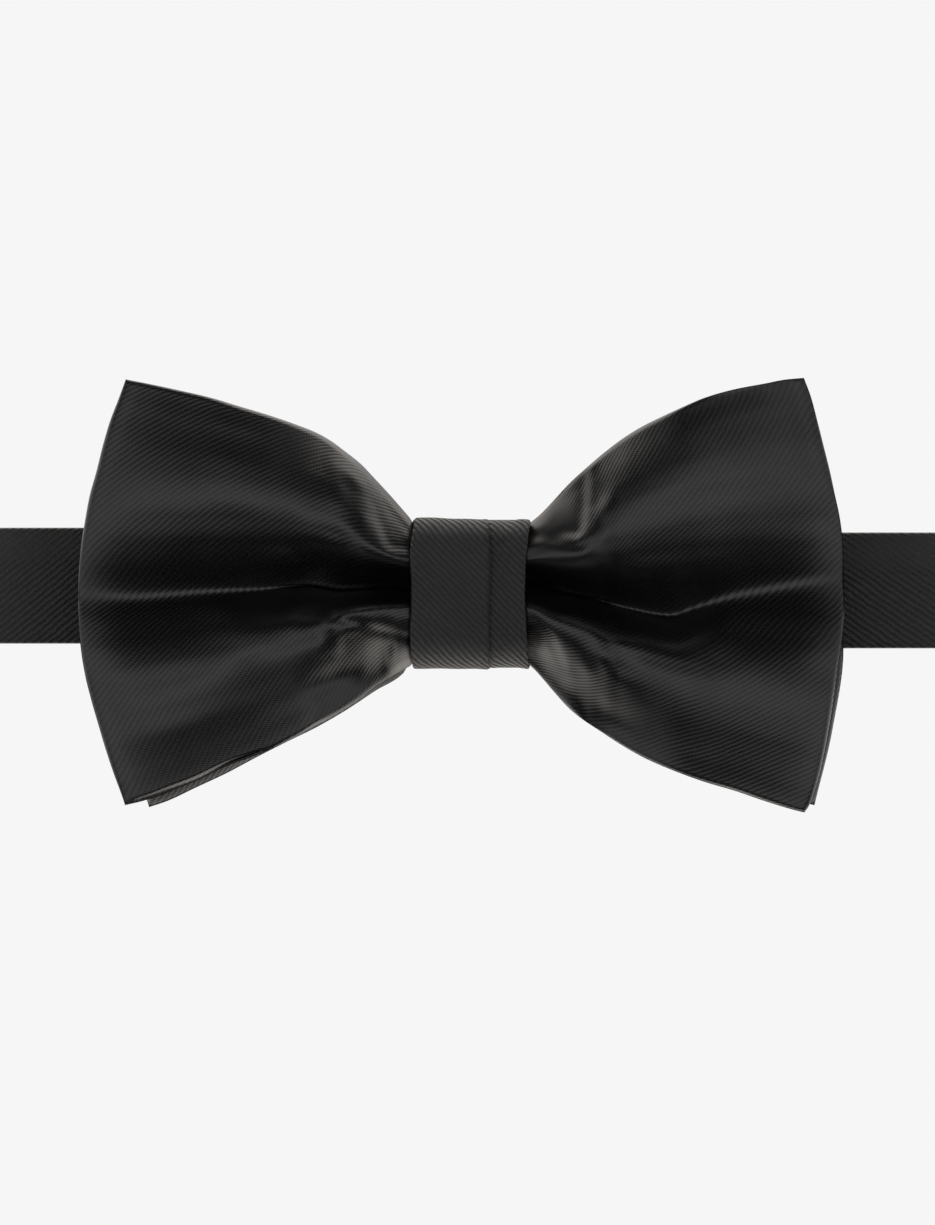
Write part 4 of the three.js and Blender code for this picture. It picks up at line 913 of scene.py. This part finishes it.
tack("eye_loop_bartack_thread", "eye_loop_bartack", "left_band", REAR_Y + 0.62, EYE_X - 7.6, EYE_X - 6.2, LEFT_Z - 7.4, LEFT_Z + 7.4, 36, (0, 1, 0))
tack("tail_bartack_thread", "tail_bartack", "slider", BAR_Y - 1.35 - 0.42, SLIDER_X - 6.2, SLIDER_X - 4.8, RIGHT_Z - 7.4, RIGHT_Z + 7.4, 36, (0, -1, 0))
tack("size_label_stitches_left", "size_label_stitching_left", "bow", FRONT_Y + BAND_T / 2 + 0.42, -51.4, -50.7, LEFT_Z - 5.4, LEFT_Z + 5.4, 22, (0, 1, 0))
tack("size_label_stitches_right", "size_label_stitching_right", "bow", FRONT_Y + BAND_T / 2 + 0.42, -27.3, -26.6, LEFT_Z - 5.4, LEFT_Z + 5.4, 22, (0, 1, 0))
slip = [((-6 + 1.1 * i, -0.98, -4.3), (-6 + 1.1 * i + 0.55, -0.52, -2.9)) for i in range(12)]
o = stitch_rows("knot_closing_stitches", slip, 0.14, 0.12, (0, 1, 0))
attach(o, "bow")
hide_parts("knot_stitching")


# ---------------------------------------------------------------- CAD pieces that show as they are, or with eased edges
def eased(node, body, material, width):
    src = NODES[node]
    o = bpy.data.objects.new(node + "_eased", src.data.copy())
    scene.collection.objects.link(o)
    import bmesh

    bm = bmesh.new()
    bm.from_mesh(o.data)
    bmesh.ops.remove_doubles(bm, verts=bm.verts, dist=1e-6)
    bmesh.ops.dissolve_limit(bm, angle_limit=math.radians(1.0), verts=bm.verts, edges=bm.edges)
    sharp = [e for e in bm.edges if len(e.link_faces) == 2 and e.calc_face_angle(0) > math.radians(35)]
    bmesh.ops.bevel(bm, geom=sharp, offset=width * MM, offset_type="OFFSET", segments=2, profile=0.5, affect="EDGES", clamp_overlap=True)
    bmesh.ops.triangulate(bm, faces=[f for f in bm.faces if len(f.verts) > 4])
    bm.to_mesh(o.data)
    bm.free()
    for p in o.data.polygons:
        p.use_smooth = False
    wear(o, material)
    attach(o, body)
    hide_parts(node)
    return o


eased("eye_plate", "eye", NICKEL, 0.16)
eased("hook_plate", "hook", NICKEL, 0.16)
eased("slider_frame", "slider", NICKEL, 0.14)


def label():
    n, m = 53, 25
    x = np.linspace(-52, -26, n)
    z = np.linspace(LEFT_Z - 6, LEFT_Z + 6, m)
    X, Z = np.meshgrid(x, z, indexing="ij")
    e = np.minimum(np.minimum(X + 52, -26 - X), np.minimum(Z - (LEFT_Z - 6), LEFT_Z + 6 - Z))
    lift = 0.30 * edge_roll(e, 0.25) + 0.04 * np.sin(0.7 * X) * np.sin(0.5 * Z)
    lift *= 1 - 0.35 * np.exp(-(((X + 51.05) / 0.4) ** 2)) - 0.35 * np.exp(-(((X + 26.95) / 0.4) ** 2))
    base = FRONT_Y + BAND_T / 2 + 0.08
    A = np.stack([X, base + 0.02 + lift, Z], 2)
    B = np.stack([X, np.full_like(X, base), Z], 2)
    W = np.stack([X, Z, np.zeros_like(X)], 2)
    o = slab("size_label_ribbon", A[::-1], B[::-1], W[::-1])
    wear(o, LABEL)
    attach(o, "bow")
    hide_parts("size_label")


label()
for name, material in (("gather_thread", THREAD), ("knot_interlining", LINING)):
    wear(NODES[name], material)


# ---------------------------------------------------------------- studio
def studio():
    world = bpy.data.worlds.new("studio")
    scene.world = world
    world.use_nodes = True
    nt = world.node_tree
    nt.nodes.clear()
    k = Nodes(nt)
    out = nt.nodes.new("ShaderNodeOutputWorld")
    bg = nt.nodes.new("ShaderNodeBackground")
    nt.links.new(bg.outputs[0], out.inputs[0])
    sep = nt.nodes.new("ShaderNodeSeparateXYZ")
    k.put(sep.inputs[0], nt.nodes.new("ShaderNodeTexCoord").outputs["Generated"])
    high = k.math("ABSOLUTE", sep.outputs["Z"])
    ahead = k.math("MULTIPLY", sep.outputs["Y"], -1.0)
    dark = k.math("MULTIPLY", k.spread(high, 0.28, 0.48, 0.0, 1.0), k.spread(ahead, 0.0, 0.28, 0.0, 1.0))
    back = k.math("MULTIPLY", k.spread(high, 0.35, 0.70, 0.0, 1.0), k.spread(ahead, 0.1, -0.3, 0.0, 1.0))
    pale = k.ramp(back, [(0.0, (0.922, 0.922, 0.922)), (1.0, (2.3, 2.15, 2.0))])
    mix = nt.nodes.new("ShaderNodeMix")
    mix.data_type = "RGBA"
    k.put(mix.inputs[0], dark)
    k.put(mix.inputs[6], pale)
    mix.inputs[7].default_value = (0.004, 0.004, 0.005, 1)
    k.put(bg.inputs["Color"], mix.outputs[2])
    bg.inputs["Strength"].default_value = 1.0

    # a pale floor that fades out before its edge
    n = 64
    me = bpy.data.meshes.new("floor")
    r = 3.2
    pts = [(0, 0, 0)] + [(r * math.cos(2 * math.pi * i / n), r * math.sin(2 * math.pi * i / n), 0) for i in range(n)]
    me.from_pydata(pts, [], [(0, 1 + i, 1 + (i + 1) % n) for i in range(n)])
    floor = bpy.data.objects.new("floor", me)
    floor.location = (0, -1.25, -0.30)
    scene.collection.objects.link(floor)
    m, fnt, bs = new_material("pale_floor")
    kf = Nodes(fnt)
    tc = fnt.nodes.new("ShaderNodeTexCoord").outputs["Object"]
    grain = kf.noise(tc, 40.0, 3.0)
    kf.put(bs.inputs["Base Color"], kf.ramp(grain, [(0.3, (0.86, 0.86, 0.86)), (0.7, (0.89, 0.89, 0.89))]))
    bs.inputs["Roughness"].default_value = 0.9
    bs.inputs["Specular IOR Level"].default_value = 0.1
    dist = fnt.nodes.new("ShaderNodeVectorMath")
    dist.operation = "LENGTH"
    kf.put(dist.inputs[0], tc)
    fade = kf.spread(dist.outputs["Value"], 2.2, 3.15, 1.0, 0.0)
    kf.put(bs.inputs["Alpha"], fade)
    wear(floor, m)
    floor.visible_glossy = False

    def area(name, loc, aim, w, h, power, colour=(1, 1, 1)):
        d = bpy.data.lights.new(name, "AREA")
        d.shape = "RECTANGLE"
        d.size, d.size_y = w, h
        d.energy = power
        d.color = colour
        o = bpy.data.objects.new(name, d)
        scene.collection.objects.link(o)
        o.location = loc
        o.rotation_euler = (Vector(aim) - Vector(loc)).to_track_quat("-Z", "Y").to_euler()
        return o

    area("key", (0.0, -1.9, 0.0), (0, 0, 0), 2.2, 0.8, 2.0, (0.98, 0.99, 1.0))
    area("top", (0.0, 0.25, 1.3), (0, 0, 0), 1.6, 0.8, 3.0, (1.0, 0.97, 0.93))

    cam = bpy.data.cameras.new("camera")
    camera = bpy.data.objects.new("camera", cam)
    scene.collection.objects.link(camera)
    D = 1.10
    camera.location = (-0.00055, -0.008 - D, -0.00384)
    camera.rotation_euler = (math.radians(90), 0, 0)
    cam.sensor_fit = "VERTICAL"
    cam.sensor_height = 36.0
    cam.lens = 36.0 * D / 0.1922
    cam.clip_start = 0.01
    cam.clip_end = 50.0
    scene.camera = camera
    scene.view_settings.view_transform = "Standard"
    scene.view_settings.look = "None"


studio()
